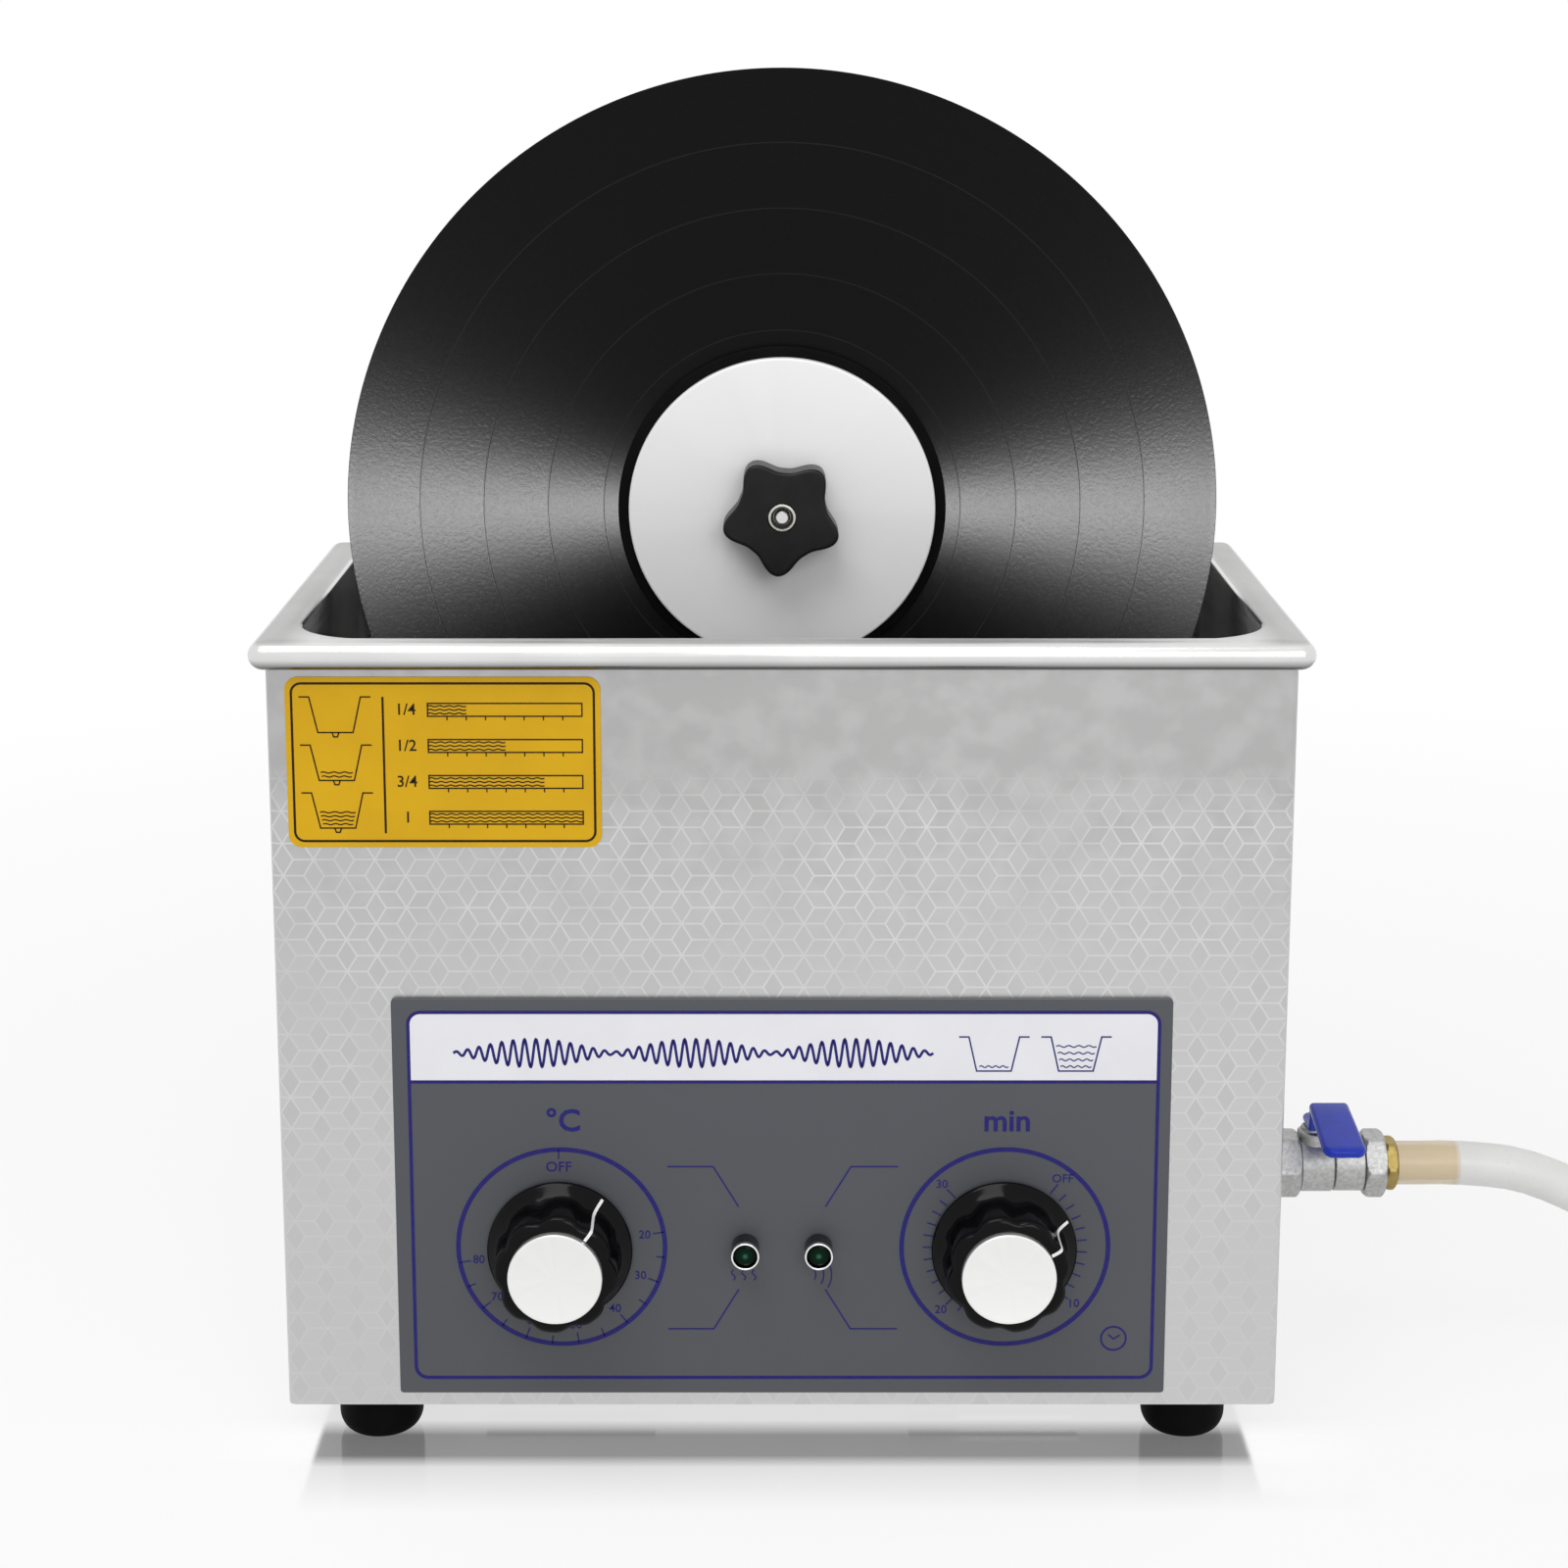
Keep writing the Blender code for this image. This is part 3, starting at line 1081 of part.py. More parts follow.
def make_switch(cleaner):
    def ring(size, height):
        return [(x, y, height) for x, y in rounded_rectangle(size[0] / 2, size[1] / 2, SWITCH_CORNER, 2)]
    front = SEAT_GAP + SWITCH_FLANGE[2]
    rings = [
        ring(SWITCH_BODY, -SWITCH_BODY[2]),
        ring(SWITCH_BODY, SEAT_GAP),
        ring(SWITCH_FLANGE, SEAT_GAP),
        ring(SWITCH_FLANGE, front),
        ring(SWITCH_WINDOW, front),
        ring(SWITCH_WINDOW, -SWITCH_BODY[2]),
    ]
    place = (SWITCH_X, WALL_Y, INLET_Z)
    mesh = loft_mesh("switch_frame", rings, looped=True)
    add("switch_frame", mesh, "matte black", cleaner, place, TO_REAR)
    # The rocker's side view, all of it inside the circle that it sweeps about its pivot
    half_width = SWITCH_WINDOW[0] / 2 - SEAT_GAP
    tip_out_share, tip_up_share, middle_share = ROCKER_FACE_SHARES
    tip_out = tip_out_share * ROCKER_RADIUS
    tip_up = tip_up_share * ROCKER_RADIUS
    outline = [
        (-ROCKER_BACK, -ROCKER_BACK),
        (0, -ROCKER_RADIUS),
        (tip_out, -tip_up),
        (middle_share * ROCKER_RADIUS, 0),
        (tip_out, tip_up),
        (0, ROCKER_RADIUS),
        (-ROCKER_BACK, ROCKER_BACK),
    ]
    pivot = (SWITCH_X, WALL_Y + SEAT_GAP + SWITCH_AXIS_DEPTH, INLET_Z)
    axis = empty("power_switch", cleaner, pivot, (-ROCKER_TILT, 0, 0))
    mesh = prism_mesh("switch_rocker", outline, -half_width, half_width)
    # The outline's x points to the rear and its y up, so the prism runs along the pivot.
    mesh.transform(Matrix(((0, 0, 1, 0), (1, 0, 0, 0), (0, 1, 0, 0), (0, 0, 0, 1))))
    add("switch_rocker", mesh, "gloss black", axis)


# Spindle, record and clamp. Heights run towards the front from the record's middle.

def make_disc(name, look, axis, facing, place, hub=None):
    # A stepped disc whose rim presses a seal ring. Heights run away from the record.
    step = SEAT_GAP + SEAL_THICKNESS + SEAT_GAP
    back = step - CLAMP_HUB_HEIGHT
    front = step + CLAMP_DISC_THICKNESS
    bore = (hub or THREAD_RADIUS) + SEAT_GAP
    profile = [
        (bore, front),
        (CLAMP_DISC_RADIUS - CLAMP_DISC_ROUND, front),
        (CLAMP_DISC_RADIUS, front - CLAMP_DISC_ROUND),
        (CLAMP_DISC_RADIUS, step),
        (CLAMP_HUB_RADIUS, step),
        (CLAMP_HUB_RADIUS, back),
        (bore, back),
    ]
    return turned(name, profile, look, axis, place, facing, DISC_STEPS)


def make_seal(name, axis, facing, place):
    low, high = SEAT_GAP, SEAT_GAP + SEAL_THICKNESS
    profile = [
        (SEAL_INNER_RADIUS, high),
        (SEAL_OUTER_RADIUS - SEAL_ROUND, high),
        (SEAL_OUTER_RADIUS, high - SEAL_ROUND),
        (SEAL_OUTER_RADIUS, low),
        (SEAL_INNER_RADIUS, low),
    ]
    turned(name, profile, "rubber", axis, place, facing, DISC_STEPS)


def make_record(axis):
    # Half of the section, then its mirror image behind
    front = [
        (RECORD_HOLE_RADIUS, RECORD_LABEL / 2),
        (RECORD_LABEL_RADIUS, RECORD_LABEL / 2),
        (RECORD_RADIUS - RECORD_BEAD, RECORD_BODY / 2),
        (RECORD_RADIUS - RECORD_BEAD_ROUND, RECORD_EDGE / 2),
        (RECORD_RADIUS, RECORD_EDGE / 2 - RECORD_BEAD_ROUND),
    ]
    profile = front + [(radius, -height) for radius, height in reversed(front)]
    turned("record", profile, "vinyl", axis, rotation=TO_FRONT, steps=LARGE_STEPS)


def star_outline():
    # Five lobes, the lowest of them turned a little to the left
    middle = (STAR_RADIUS + STAR_WAIST_RADIUS) / 2
    depth = (STAR_RADIUS - STAR_WAIST_RADIUS) / 2
    points = []
    for step in range(STAR_POINTS):
        angle = 2 * math.pi * step / STAR_POINTS
        radius = middle + depth * math.cos(STAR_LOBES * (angle + math.pi / 2 + STAR_TURN))
        points.append((radius * math.cos(angle), radius * math.sin(angle)))
    return points


def make_spindle(drive):
    spindle = empty("spindle", drive, (0, RECORD_Y, SPINDLE_Z))
    half_label = RECORD_LABEL / 2
    clamp_front = half_label + 2 * SEAT_GAP + SEAL_THICKNESS + CLAMP_DISC_THICKNESS
    washer_back = clamp_front + SEAT_GAP
    star_back = washer_back + WASHER_THICKNESS + SEAT_GAP
    star_front = star_back + STAR_THICKNESS
    hub_rear = -clamp_front - SEAT_GAP - REAR_HUB_LENGTH
    rod_rear = -(CASE_FRONT + ROD_SUNK - RECORD_Y)
    shoulder = half_label + SEAT_GAP
    # The collar behind the rear disc is turned in one with the rod, and its front end is threaded.
    rod = [
        (0, star_front - ROD_SHORT_OF_KNOB),
        (THREAD_RADIUS, star_front - ROD_SHORT_OF_KNOB),
        (THREAD_RADIUS, shoulder),
        (ROD_RADIUS, shoulder),
        (ROD_RADIUS, -clamp_front - SEAT_GAP),
        (REAR_HUB_RADIUS, -clamp_front - SEAT_GAP),
        (REAR_HUB_RADIUS, hub_rear),
        (ROD_RADIUS, hub_rear),
        (ROD_RADIUS, rod_rear),
        (0, rod_rear),
    ]
    turned("spindle_rod", rod, "bright steel", spindle, rotation=TO_FRONT, steps=SMALL_STEPS)
    behind = (0, half_label, 0)
    ahead = (0, -half_label, 0)
    make_disc("rear_disc", "satin aluminium", spindle, TO_REAR, behind, ROD_RADIUS)
    make_seal("rear_seal", spindle, TO_REAR, behind)
    record = empty("record_body", spindle)
    make_record(record)
    clamp = empty("front_clamp", record)
    make_disc("front_disc", "satin aluminium", clamp, TO_FRONT, ahead)
    make_seal("front_seal", clamp, TO_FRONT, ahead)
    travel = empty("knob_washer_body", clamp)
    washer = [
        (THREAD_RADIUS + SEAT_GAP, washer_back + WASHER_THICKNESS),
        (WASHER_RADIUS, washer_back + WASHER_THICKNESS),
        (WASHER_RADIUS, washer_back),
        (THREAD_RADIUS + SEAT_GAP, washer_back),
    ]
    turned("knob_washer", washer, "bright steel", travel, rotation=TO_FRONT, steps=SMALL_STEPS)
    knob = empty("star_knob_body", travel, rotation=TO_FRONT)
    mesh = prism_mesh("star_knob", star_outline(), star_back, star_front)
    star = add("star_knob", mesh, "matte black", knob)
    bore_ends = (star_back - CUT_OVERRUN, star_front + CUT_OVERRUN)
    bore = cylinder_mesh("star_bore", INSERT_RADIUS + SEAT_GAP, *bore_ends)
    soften(star, STAR_EDGE)
    boolean(star, add_cutter("star_bore", bore, knob))
    mouth = star_front - INSERT_MOUTH_DEPTH
    insert = [
        (INSERT_MOUTH_RADIUS, star_front),
        (INSERT_RADIUS, star_front),
        (INSERT_RADIUS, star_back),
        (THREAD_RADIUS + SEAT_GAP, star_back),
        (THREAD_RADIUS + SEAT_GAP, mouth),
        (INSERT_MOUTH_RADIUS, mouth),
    ]
    turned("knob_insert", insert, "bright steel", knob, steps=SMALL_STEPS)


# Drive unit

def make_bracket(drive):
    # A hook over the rear rim, drawn from the side: y to the rear and z up
    inner = HALF_TANK[1] - SEAT_GAP
    under = RIM_TOP + SEAT_GAP
    top = under + BRACKET_SHEET
    rear = BRACKET_REAR
    outline = [
        (inner - BRACKET_SHEET, top - BRACKET_INNER_LEG),
        (inner, top - BRACKET_INNER_LEG),
        (inner, under),
        (rear - BRACKET_SHEET, under),
        (rear - BRACKET_SHEET, top - BRACKET_OUTER_LEG),
        (rear, top - BRACKET_OUTER_LEG),
        (rear, top),
        (inner - BRACKET_SHEET, top),
    ]
    mesh = prism_mesh("rim_bracket", outline, -BRACKET_LENGTH / 2, BRACKET_LENGTH / 2)
    mesh.transform(Matrix(((0, 0, 1, 0), (1, 0, 0, 0), (0, 1, 0, 0), (0, 0, 0, 1))))
    bracket = add("rim_bracket", mesh, "satin steel", drive)
    holes = cylinder_mesh(
        "screw_holes", SCREW_RADIUS + SEAT_GAP, -CUT_OVERRUN, BRACKET_SHEET + CUT_OVERRUN,
        centres=((-CLAMP_SCREW_X, 0), (CLAMP_SCREW_X, 0)),
    )
    place = (0, rear - BRACKET_SHEET, CLAMP_SCREW_Z)
    boolean(bracket, add_cutter("screw_holes", holes, drive, place, TO_REAR))


def make_motor_unit(drive):
    middle_z = CASE_BASE + CASE_HEIGHT / 2
    case_mesh = box_mesh("motor_case", (CASE_LENGTH, CASE_DEPTH, CASE_HEIGHT))
    case = add("motor_case", case_mesh, "matte black", drive, (0, CASE_FRONT + CASE_DEPTH / 2, middle_z))
    soften(case, CASE_ROUND)
    spindle_place = (0, CASE_FRONT, SPINDLE_Z)
    bush_seat = cylinder_mesh("bush_seat", BUSH_RADIUS + SEAT_GAP, -CUT_OVERRUN, BUSH_LENGTH + SEAT_GAP)
    rod_seat = cylinder_mesh("rod_seat", ROD_RADIUS + SEAT_GAP, BUSH_LENGTH, ROD_SUNK + RUNNING_GAP)
    jack_place = (JACK_X, COVER_FRONT + COVER_THICKNESS, middle_z - JACK_DROP)
    jack_seat = cylinder_mesh("jack_seat", JACK_RADIUS + SEAT_GAP, -JACK_LENGTH - SEAT_GAP, CUT_OVERRUN)
    jack_cutter = add_cutter("jack_seat", jack_seat, drive, jack_place, TO_REAR)
    boolean(case, add_cutter("bush_seat", bush_seat, drive, spindle_place, TO_REAR))
    boolean(case, add_cutter("rod_seat", rod_seat, drive, spindle_place, TO_REAR))
    boolean(case, jack_cutter)
    outline = rounded_rectangle(CASE_LENGTH / 2, CASE_HEIGHT / 2, CASE_ROUND, 4)
    cover_mesh = prism_mesh("motor_cover", outline, 0, COVER_THICKNESS)
    cover = add("motor_cover", cover_mesh, "matte black", drive, (0, COVER_FRONT, middle_z), TO_REAR)
    boolean(cover, jack_cutter)
    bush = [
        (ROD_RADIUS + SEAT_GAP, SEAT_GAP + BUSH_FLANGE),
        (BUSH_FLANGE_RADIUS, SEAT_GAP + BUSH_FLANGE),
        (BUSH_FLANGE_RADIUS, SEAT_GAP),
        (BUSH_RADIUS, SEAT_GAP),
        (BUSH_RADIUS, -BUSH_LENGTH),
        (ROD_RADIUS + SEAT_GAP, -BUSH_LENGTH),
    ]
    turned("spindle_bush", bush, "brass", drive, spindle_place, TO_FRONT, SMALL_STEPS)
    front = SEAT_GAP + JACK_FLANGE
    floor = front - JACK_MOUTH_DEPTH
    jack = [
        (0, front - JACK_PIN_SHORT),
        (JACK_PIN_RADIUS, front - JACK_PIN_SHORT),
        (JACK_PIN_RADIUS, floor),
        (JACK_MOUTH_RADIUS, floor),
        (JACK_MOUTH_RADIUS, front),
        (JACK_FLANGE_RADIUS, front),
        (JACK_FLANGE_RADIUS, SEAT_GAP),
        (JACK_RADIUS, SEAT_GAP),
        (JACK_RADIUS, -JACK_LENGTH),
        (0, -JACK_LENGTH),
    ]
    turned("power_jack", jack, "matte black", drive, jack_place, TO_REAR, SMALL_STEPS)


def make_clamp_screw(end, side, drive):
    # The pad slides on the rim, and the screw turns behind it in the bracket's threaded hole.
    place = (side * CLAMP_SCREW_X, RIM_HALF_WIDTH + SEAT_GAP, CLAMP_SCREW_Z)
    slide = empty(f"clamp_pad_{end}_body", drive, place, TO_REAR)
    pad = [(0, PAD_THICKNESS), (PAD_RADIUS, PAD_THICKNESS), (PAD_RADIUS, 0), (0, 0)]
    turned(f"clamp_pad_{end}", pad, "rubber", slide, steps=SMALL_STEPS)
    turn = empty(f"clamp_screw_{end}_body", slide)
    tip = PAD_THICKNESS + SEAT_GAP
    head = tip + SCREW_LENGTH - HEAD_LENGTH
    knurl = lobed(HEAD_RADIUS, HEAD_LOBE_DEPTH, HEAD_LOBES, 0)
    rings = [
        section(SCREW_RADIUS, tip),
        section(SCREW_RADIUS, head),
        section(HEAD_RADIUS - HEAD_CHAMFER, head),
        section(knurl, head + HEAD_CHAMFER),
        section(knurl, head + HEAD_LENGTH - HEAD_CHAMFER),
        section(HEAD_RADIUS - HEAD_CHAMFER, head + HEAD_LENGTH),
    ]
    add(f"clamp_screw_{end}", loft_mesh(f"clamp_screw_{end}", rings), "matte black", turn)


def build():
    machine = empty("machine", None, (-CENTRE_X, -CENTRE_Y, 0))
    cleaner = empty("cleaner", machine)
    make_tank(cleaner)
    front_cutters = make_shell(cleaner)
    make_bottom_plate(cleaner)
    make_feet(cleaner)
    make_panel(cleaner, front_cutters)
    make_lamp("heating", -1, cleaner)
    make_lamp("cleaning", 1, cleaner)
    make_dial("thermostat_body", "thermostat_shaft", "temperature", -1, TEMPERATURE_POINTER, cleaner)
    make_dial("timer_body", "timer_shaft", "time", 1, TIME_POINTER, cleaner)
    make_transducers(cleaner)
    make_heater(cleaner)
    make_drain_fitting(cleaner)
    valve = empty("valve", cleaner, (WALL_X, 0, DRAIN_PIPE_Z))
    make_valve_body(valve)
    make_valve_end(valve)
    make_barb(valve)
    make_lever(valve)
    make_hose(cleaner)
    make_inlet(cleaner)
    make_switch(cleaner)
    drive = empty("drive_unit", machine)
    make_bracket(drive)
    make_motor_unit(drive)
    make_clamp_screw("left", -1, drive)
    make_clamp_screw("right", 1, drive)
    make_spindle(drive)


clear_scene()
parts = new_collection(PRODUCT)
cutters = new_collection("cutters")
build()
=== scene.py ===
import math

import bmesh
import bpy
from mathutils import Matrix, Vector


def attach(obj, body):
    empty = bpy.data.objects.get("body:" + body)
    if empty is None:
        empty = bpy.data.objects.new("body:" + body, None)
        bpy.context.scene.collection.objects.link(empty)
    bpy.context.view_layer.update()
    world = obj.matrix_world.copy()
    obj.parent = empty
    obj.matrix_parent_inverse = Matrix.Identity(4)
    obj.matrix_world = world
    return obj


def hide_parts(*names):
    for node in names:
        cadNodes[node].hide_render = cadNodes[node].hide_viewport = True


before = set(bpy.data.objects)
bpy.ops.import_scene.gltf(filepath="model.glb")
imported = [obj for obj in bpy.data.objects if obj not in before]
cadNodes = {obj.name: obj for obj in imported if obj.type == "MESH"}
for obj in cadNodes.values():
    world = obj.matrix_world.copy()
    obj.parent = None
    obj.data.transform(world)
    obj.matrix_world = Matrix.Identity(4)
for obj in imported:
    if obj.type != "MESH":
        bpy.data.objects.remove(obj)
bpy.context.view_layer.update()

# The model's frame is centred on its box. Places below are measured from the middle of the tank.
tankMiddle = Vector((-0.03645, -0.0131, 0.0))
seatGap = 0.0003
facingUp = (0.0, 0.0, 0.0)
facingFront = (math.pi / 2, 0.0, 0.0)
facingRear = (-math.pi / 2, 0.0, 0.0)
facingDown = (math.pi, 0.0, 0.0)
facingRight = (0.0, math.pi / 2, 0.0)


def at(x, y, z):
    return tankMiddle + Vector((x, y, z))


# Camera

viewpoint = {"place": (0.0, -1.0203, 0.4777), "tilt": 79.05, "lens": 69.23, "shift": (0.00125, -0.125)}


def makeCamera():
    data = bpy.data.cameras.new("camera")
    data.lens = viewpoint["lens"]
    data.sensor_width = 36
    data.shift_x, data.shift_y = viewpoint["shift"]
    camera = bpy.data.objects.new("camera", data)
    bpy.context.scene.collection.objects.link(camera)
    camera.location = at(*viewpoint["place"])
    camera.rotation_euler = (math.radians(viewpoint["tilt"]), 0, 0)
    bpy.context.scene.camera = camera


makeCamera()
print("camera placed")


# Mesh tools

def smoothMesh(mesh, angle=32):
    mesh.shade_smooth()
    mesh.set_sharp_from_angle(angle=math.radians(angle))
    return mesh


def meshFrom(name, work, angle=32):
    bmesh.ops.recalc_face_normals(work, faces=work.faces)
    mesh = bpy.data.meshes.new(name)
    work.to_mesh(mesh)
    work.free()
    return smoothMesh(mesh, angle)


def loftMesh(name, rings, looped=False, angle=32):
    work = bmesh.new()
    rows = [[work.verts.new(point) for point in ring] for ring in rings]
    pairs = list(zip(rows, rows[1:]))
    if looped:
        pairs.append((rows[-1], rows[0]))
    else:
        work.faces.new(rows[0])
        work.faces.new(rows[-1])
    for low, high in pairs:
        for here in range(len(low)):
            following = (here + 1) % len(low)
            work.faces.new((low[here], low[following], high[following], high[here]))
    return meshFrom(name, work, angle)


def circle(radius, height, steps):
    angles = [2 * math.pi * step / steps for step in range(steps)]
    return [(radius * math.cos(a), radius * math.sin(a), height) for a in angles]


def latheMesh(name, profile, steps=96, angle=32):
    # A profile that touches the axis at both ends is capped there, and any other is closed into a ring.
    work = bmesh.new()
    rows = []
    for radius, height in profile:
        if radius <= 0:
            rows.append([work.verts.new((0, 0, height))])
        else:
            rows.append([work.verts.new(point) for point in circle(radius, height, steps)])
    pairs = list(zip(rows, rows[1:]))
    if len(rows[0]) > 1:
        pairs.append((rows[-1], rows[0]))
    for low, high in pairs:
        for here in range(steps):
            following = (here + 1) % steps
            corners = [low[here % len(low)], low[following % len(low)]]
            corners += [high[following % len(high)], high[here % len(high)]]
            corners = list(dict.fromkeys(corners))
            if len(corners) > 2:
                work.faces.new(corners)
    return meshFrom(name, work, angle)


def filleted(profile, steps=4):
    # Each point may carry a third number, the radius that rounds its corner.
    points = []
    for here, point in enumerate(profile):
        if len(point) < 3 or here in (0, len(profile) - 1):
            points.append(tuple(point[:2]))
            continue
        corner = Vector(point[:2])
        before = Vector(profile[here - 1][:2]) - corner
        after = Vector(profile[here + 1][:2]) - corner
        reach = min(point[2], before.length * 0.49, after.length * 0.49)
        start = corner + before.normalized() * reach
        end = corner + after.normalized() * reach
        for step in range(steps + 1):
            t = step / steps
            points.append(tuple(start * (1 - t) ** 2 + corner * 2 * t * (1 - t) + end * t ** 2))
    return points


def roundedRectangle(halfX, halfY, radius, steps=16):
    points = []
    for corner, (sideX, sideY) in enumerate(((1, 1), (-1, 1), (-1, -1), (1, -1))):
        for step in range(steps + 1):
            angle = (corner + step / steps) * math.pi / 2
            points.append((
                sideX * (halfX - radius) + radius * math.cos(angle),
                sideY * (halfY - radius) + radius * math.sin(angle),
            ))
    return points


def arc(centre, radius, start, end, steps=8):
    angles = [math.radians(start + (end - start) * step / steps) for step in range(steps + 1)]
    return [(centre[0] + radius * math.cos(a), centre[1] + radius * math.sin(a)) for a in angles]


def soften(target, width, segments=3):
    modifier = target.modifiers.new("edges", "BEVEL")
    modifier.width = width
    modifier.segments = segments
    modifier.limit_method = "ANGLE"
    modifier.angle_limit = math.radians(35)


def piece(name, mesh, material, body, place=None, turn=facingUp, hides=()):
    made = bpy.data.objects.new(name, mesh)
    bpy.context.scene.collection.objects.link(made)
    mesh.materials.clear()
    mesh.materials.append(material)
    made.location = tankMiddle if place is None else place
    made.rotation_euler = turn
    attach(made, body)
    if hides:
        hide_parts(*hides)
    return made


def dress(nodeName, material):
    # A CAD node keeps its shape: it is welded and shaded smooth, and gets its finish.
    node = cadNodes[nodeName]
    node.data.materials.clear()
    node.data.materials.append(material)
    if "custom_normal" in node.data.attributes:
        node.data.attributes.remove(node.data.attributes["custom_normal"])
    node.data.shade_smooth()
    weld = node.modifiers.new("weld", "WELD")
    weld.merge_threshold = 0.000002
    split = node.modifiers.new("split", "EDGE_SPLIT")
    split.split_angle = math.radians(32)
    return node


# Material tools

def addNode(tree, kind, inputs=None, **settings):
    made = tree.nodes.new(kind)
    for name, value in settings.items():
        setattr(made, name, value)
    for socket, value in (inputs or {}).items():
        if isinstance(value, bpy.types.NodeSocket):
            tree.links.new(value, made.inputs[socket])
        else:
            made.inputs[socket].default_value = value
    return made


def mathNode(tree, operation, *values):
    made = tree.nodes.new("ShaderNodeMath")
    made.operation = operation
    for socket, value in enumerate(values):
        if isinstance(value, bpy.types.NodeSocket):
            tree.links.new(value, made.inputs[socket])
        else:
            made.inputs[socket].default_value = value
    return made.outputs[0]


def vectorNode(tree, operation, *values):
    made = tree.nodes.new("ShaderNodeVectorMath")
    made.operation = operation
    for socket, value in enumerate(values):
        if isinstance(value, bpy.types.NodeSocket):
            tree.links.new(value, made.inputs[socket])
        else:
            made.inputs[socket].default_value = value
    return made.outputs["Value" if operation in ("LENGTH", "DOT_PRODUCT") else "Vector"]


def mixColour(tree, share, first, second):
    made = tree.nodes.new("ShaderNodeMix")
    made.data_type = "RGBA"
    for socket, value in ((0, share), (6, first), (7, second)):
        if isinstance(value, bpy.types.NodeSocket):
            tree.links.new(value, made.inputs[socket])
        else:
            made.inputs[socket].default_value = value
    return made.outputs[2]


def spread(tree, value, fromLow, fromHigh, toLow, toHigh):
    made = addNode(tree, "ShaderNodeMapRange", {
        "Value": value, "From Min": fromLow, "From Max": fromHigh, "To Min": toLow, "To Max": toHigh,
    })
    return made.outputs["Result"]


def newGroup(name, inputs, outputs):
    tree = bpy.data.node_groups.new(name, "ShaderNodeTree")
    for label, kind, start in inputs:
        socket = tree.interface.new_socket(name=label, in_out="INPUT", socket_type=kind)
        if start is not None:
            socket.default_value = start
    for label, kind in outputs:
        tree.interface.new_socket(name=label, in_out="OUTPUT", socket_type=kind)
    return tree, tree.nodes.new("NodeGroupInput").outputs, tree.nodes.new("NodeGroupOutput").inputs


def makeGrainGroup():
    # Fine grain: a noise value, the same value spread between two limits, and its bump
    tree, given, result = newGroup("fineGrain", [
        ("Vector", "NodeSocketVector", None),
        ("Scale", "NodeSocketFloat", 1000.0),
        ("Low", "NodeSocketFloat", 0.3),
        ("High", "NodeSocketFloat", 0.5),
        ("Depth", "NodeSocketFloat", 0.00001),
    ], [("Value", "NodeSocketFloat"), ("Spread", "NodeSocketFloat"), ("Normal", "NodeSocketVector")])
    noise = addNode(tree, "ShaderNodeTexNoise", {
        "Vector": given["Vector"], "Scale": given["Scale"], "Detail": 3.0, "Roughness": 0.6,
    })
    value = noise.outputs["Fac"]
    bump = addNode(tree, "ShaderNodeBump", {"Height": value, "Distance": given["Depth"], "Strength": 1.0})
    tree.links.new(value, result["Value"])
    tree.links.new(spread(tree, value, 0.3, 0.7, given["Low"], given["High"]), result["Spread"])
    tree.links.new(bump.outputs["Normal"], result["Normal"])
    return tree


def makeSmudgeGroup():
    # Broad, soft variation between two colours, with a mask of the same patches
    tree, given, result = newGroup("softSmudges", [
        ("Vector", "NodeSocketVector", None),
        ("Scale", "NodeSocketFloat", 20.0),
        ("Clean", "NodeSocketColor", (0.5, 0.5, 0.5, 1)),
        ("Worn", "NodeSocketColor", (0.4, 0.4, 0.4, 1)),
        ("Amount", "NodeSocketFloat", 0.5),
    ], [("Color", "NodeSocketColor"), ("Mask", "NodeSocketFloat")])
    noise = addNode(tree, "ShaderNodeTexNoise", {
        "Vector": given["Vector"], "Scale": given["Scale"], "Detail": 4.0, "Roughness": 0.55,
    })
    mask = spread(tree, noise.outputs["Fac"], 0.35, 0.65, 0.0, 1.0)
    share = mathNode(tree, "MULTIPLY", mask, given["Amount"])
    tree.links.new(mixColour(tree, share, given["Clean"], given["Worn"]), result["Color"])
    tree.links.new(mask, result["Mask"])
    return tree


def makeStreakGroup():
    # Lines along one direction, as a belt or a lathe leaves them: Stretch scales each axis
    tree, given, result = newGroup("toolLines", [
        ("Vector", "NodeSocketVector", None),
        ("Stretch", "NodeSocketVector", (1.0, 1.0, 1.0)),
        ("Low", "NodeSocketFloat", 0.2),
        ("High", "NodeSocketFloat", 0.3),
        ("Depth", "NodeSocketFloat", 0.00001),
    ], [("Value", "NodeSocketFloat"), ("Spread", "NodeSocketFloat"), ("Normal", "NodeSocketVector")])
    stretched = vectorNode(tree, "MULTIPLY", given["Vector"], given["Stretch"])
    noise = addNode(tree, "ShaderNodeTexNoise", {"Vector": stretched, "Scale": 1.0, "Detail": 2.0})
    value = noise.outputs["Fac"]
    bump = addNode(tree, "ShaderNodeBump", {"Height": value, "Distance": given["Depth"], "Strength": 1.0})
    tree.links.new(value, result["Value"])
    tree.links.new(spread(tree, value, 0.3, 0.7, given["Low"], given["High"]), result["Spread"])
    tree.links.new(bump.outputs["Normal"], result["Normal"])
    return tree


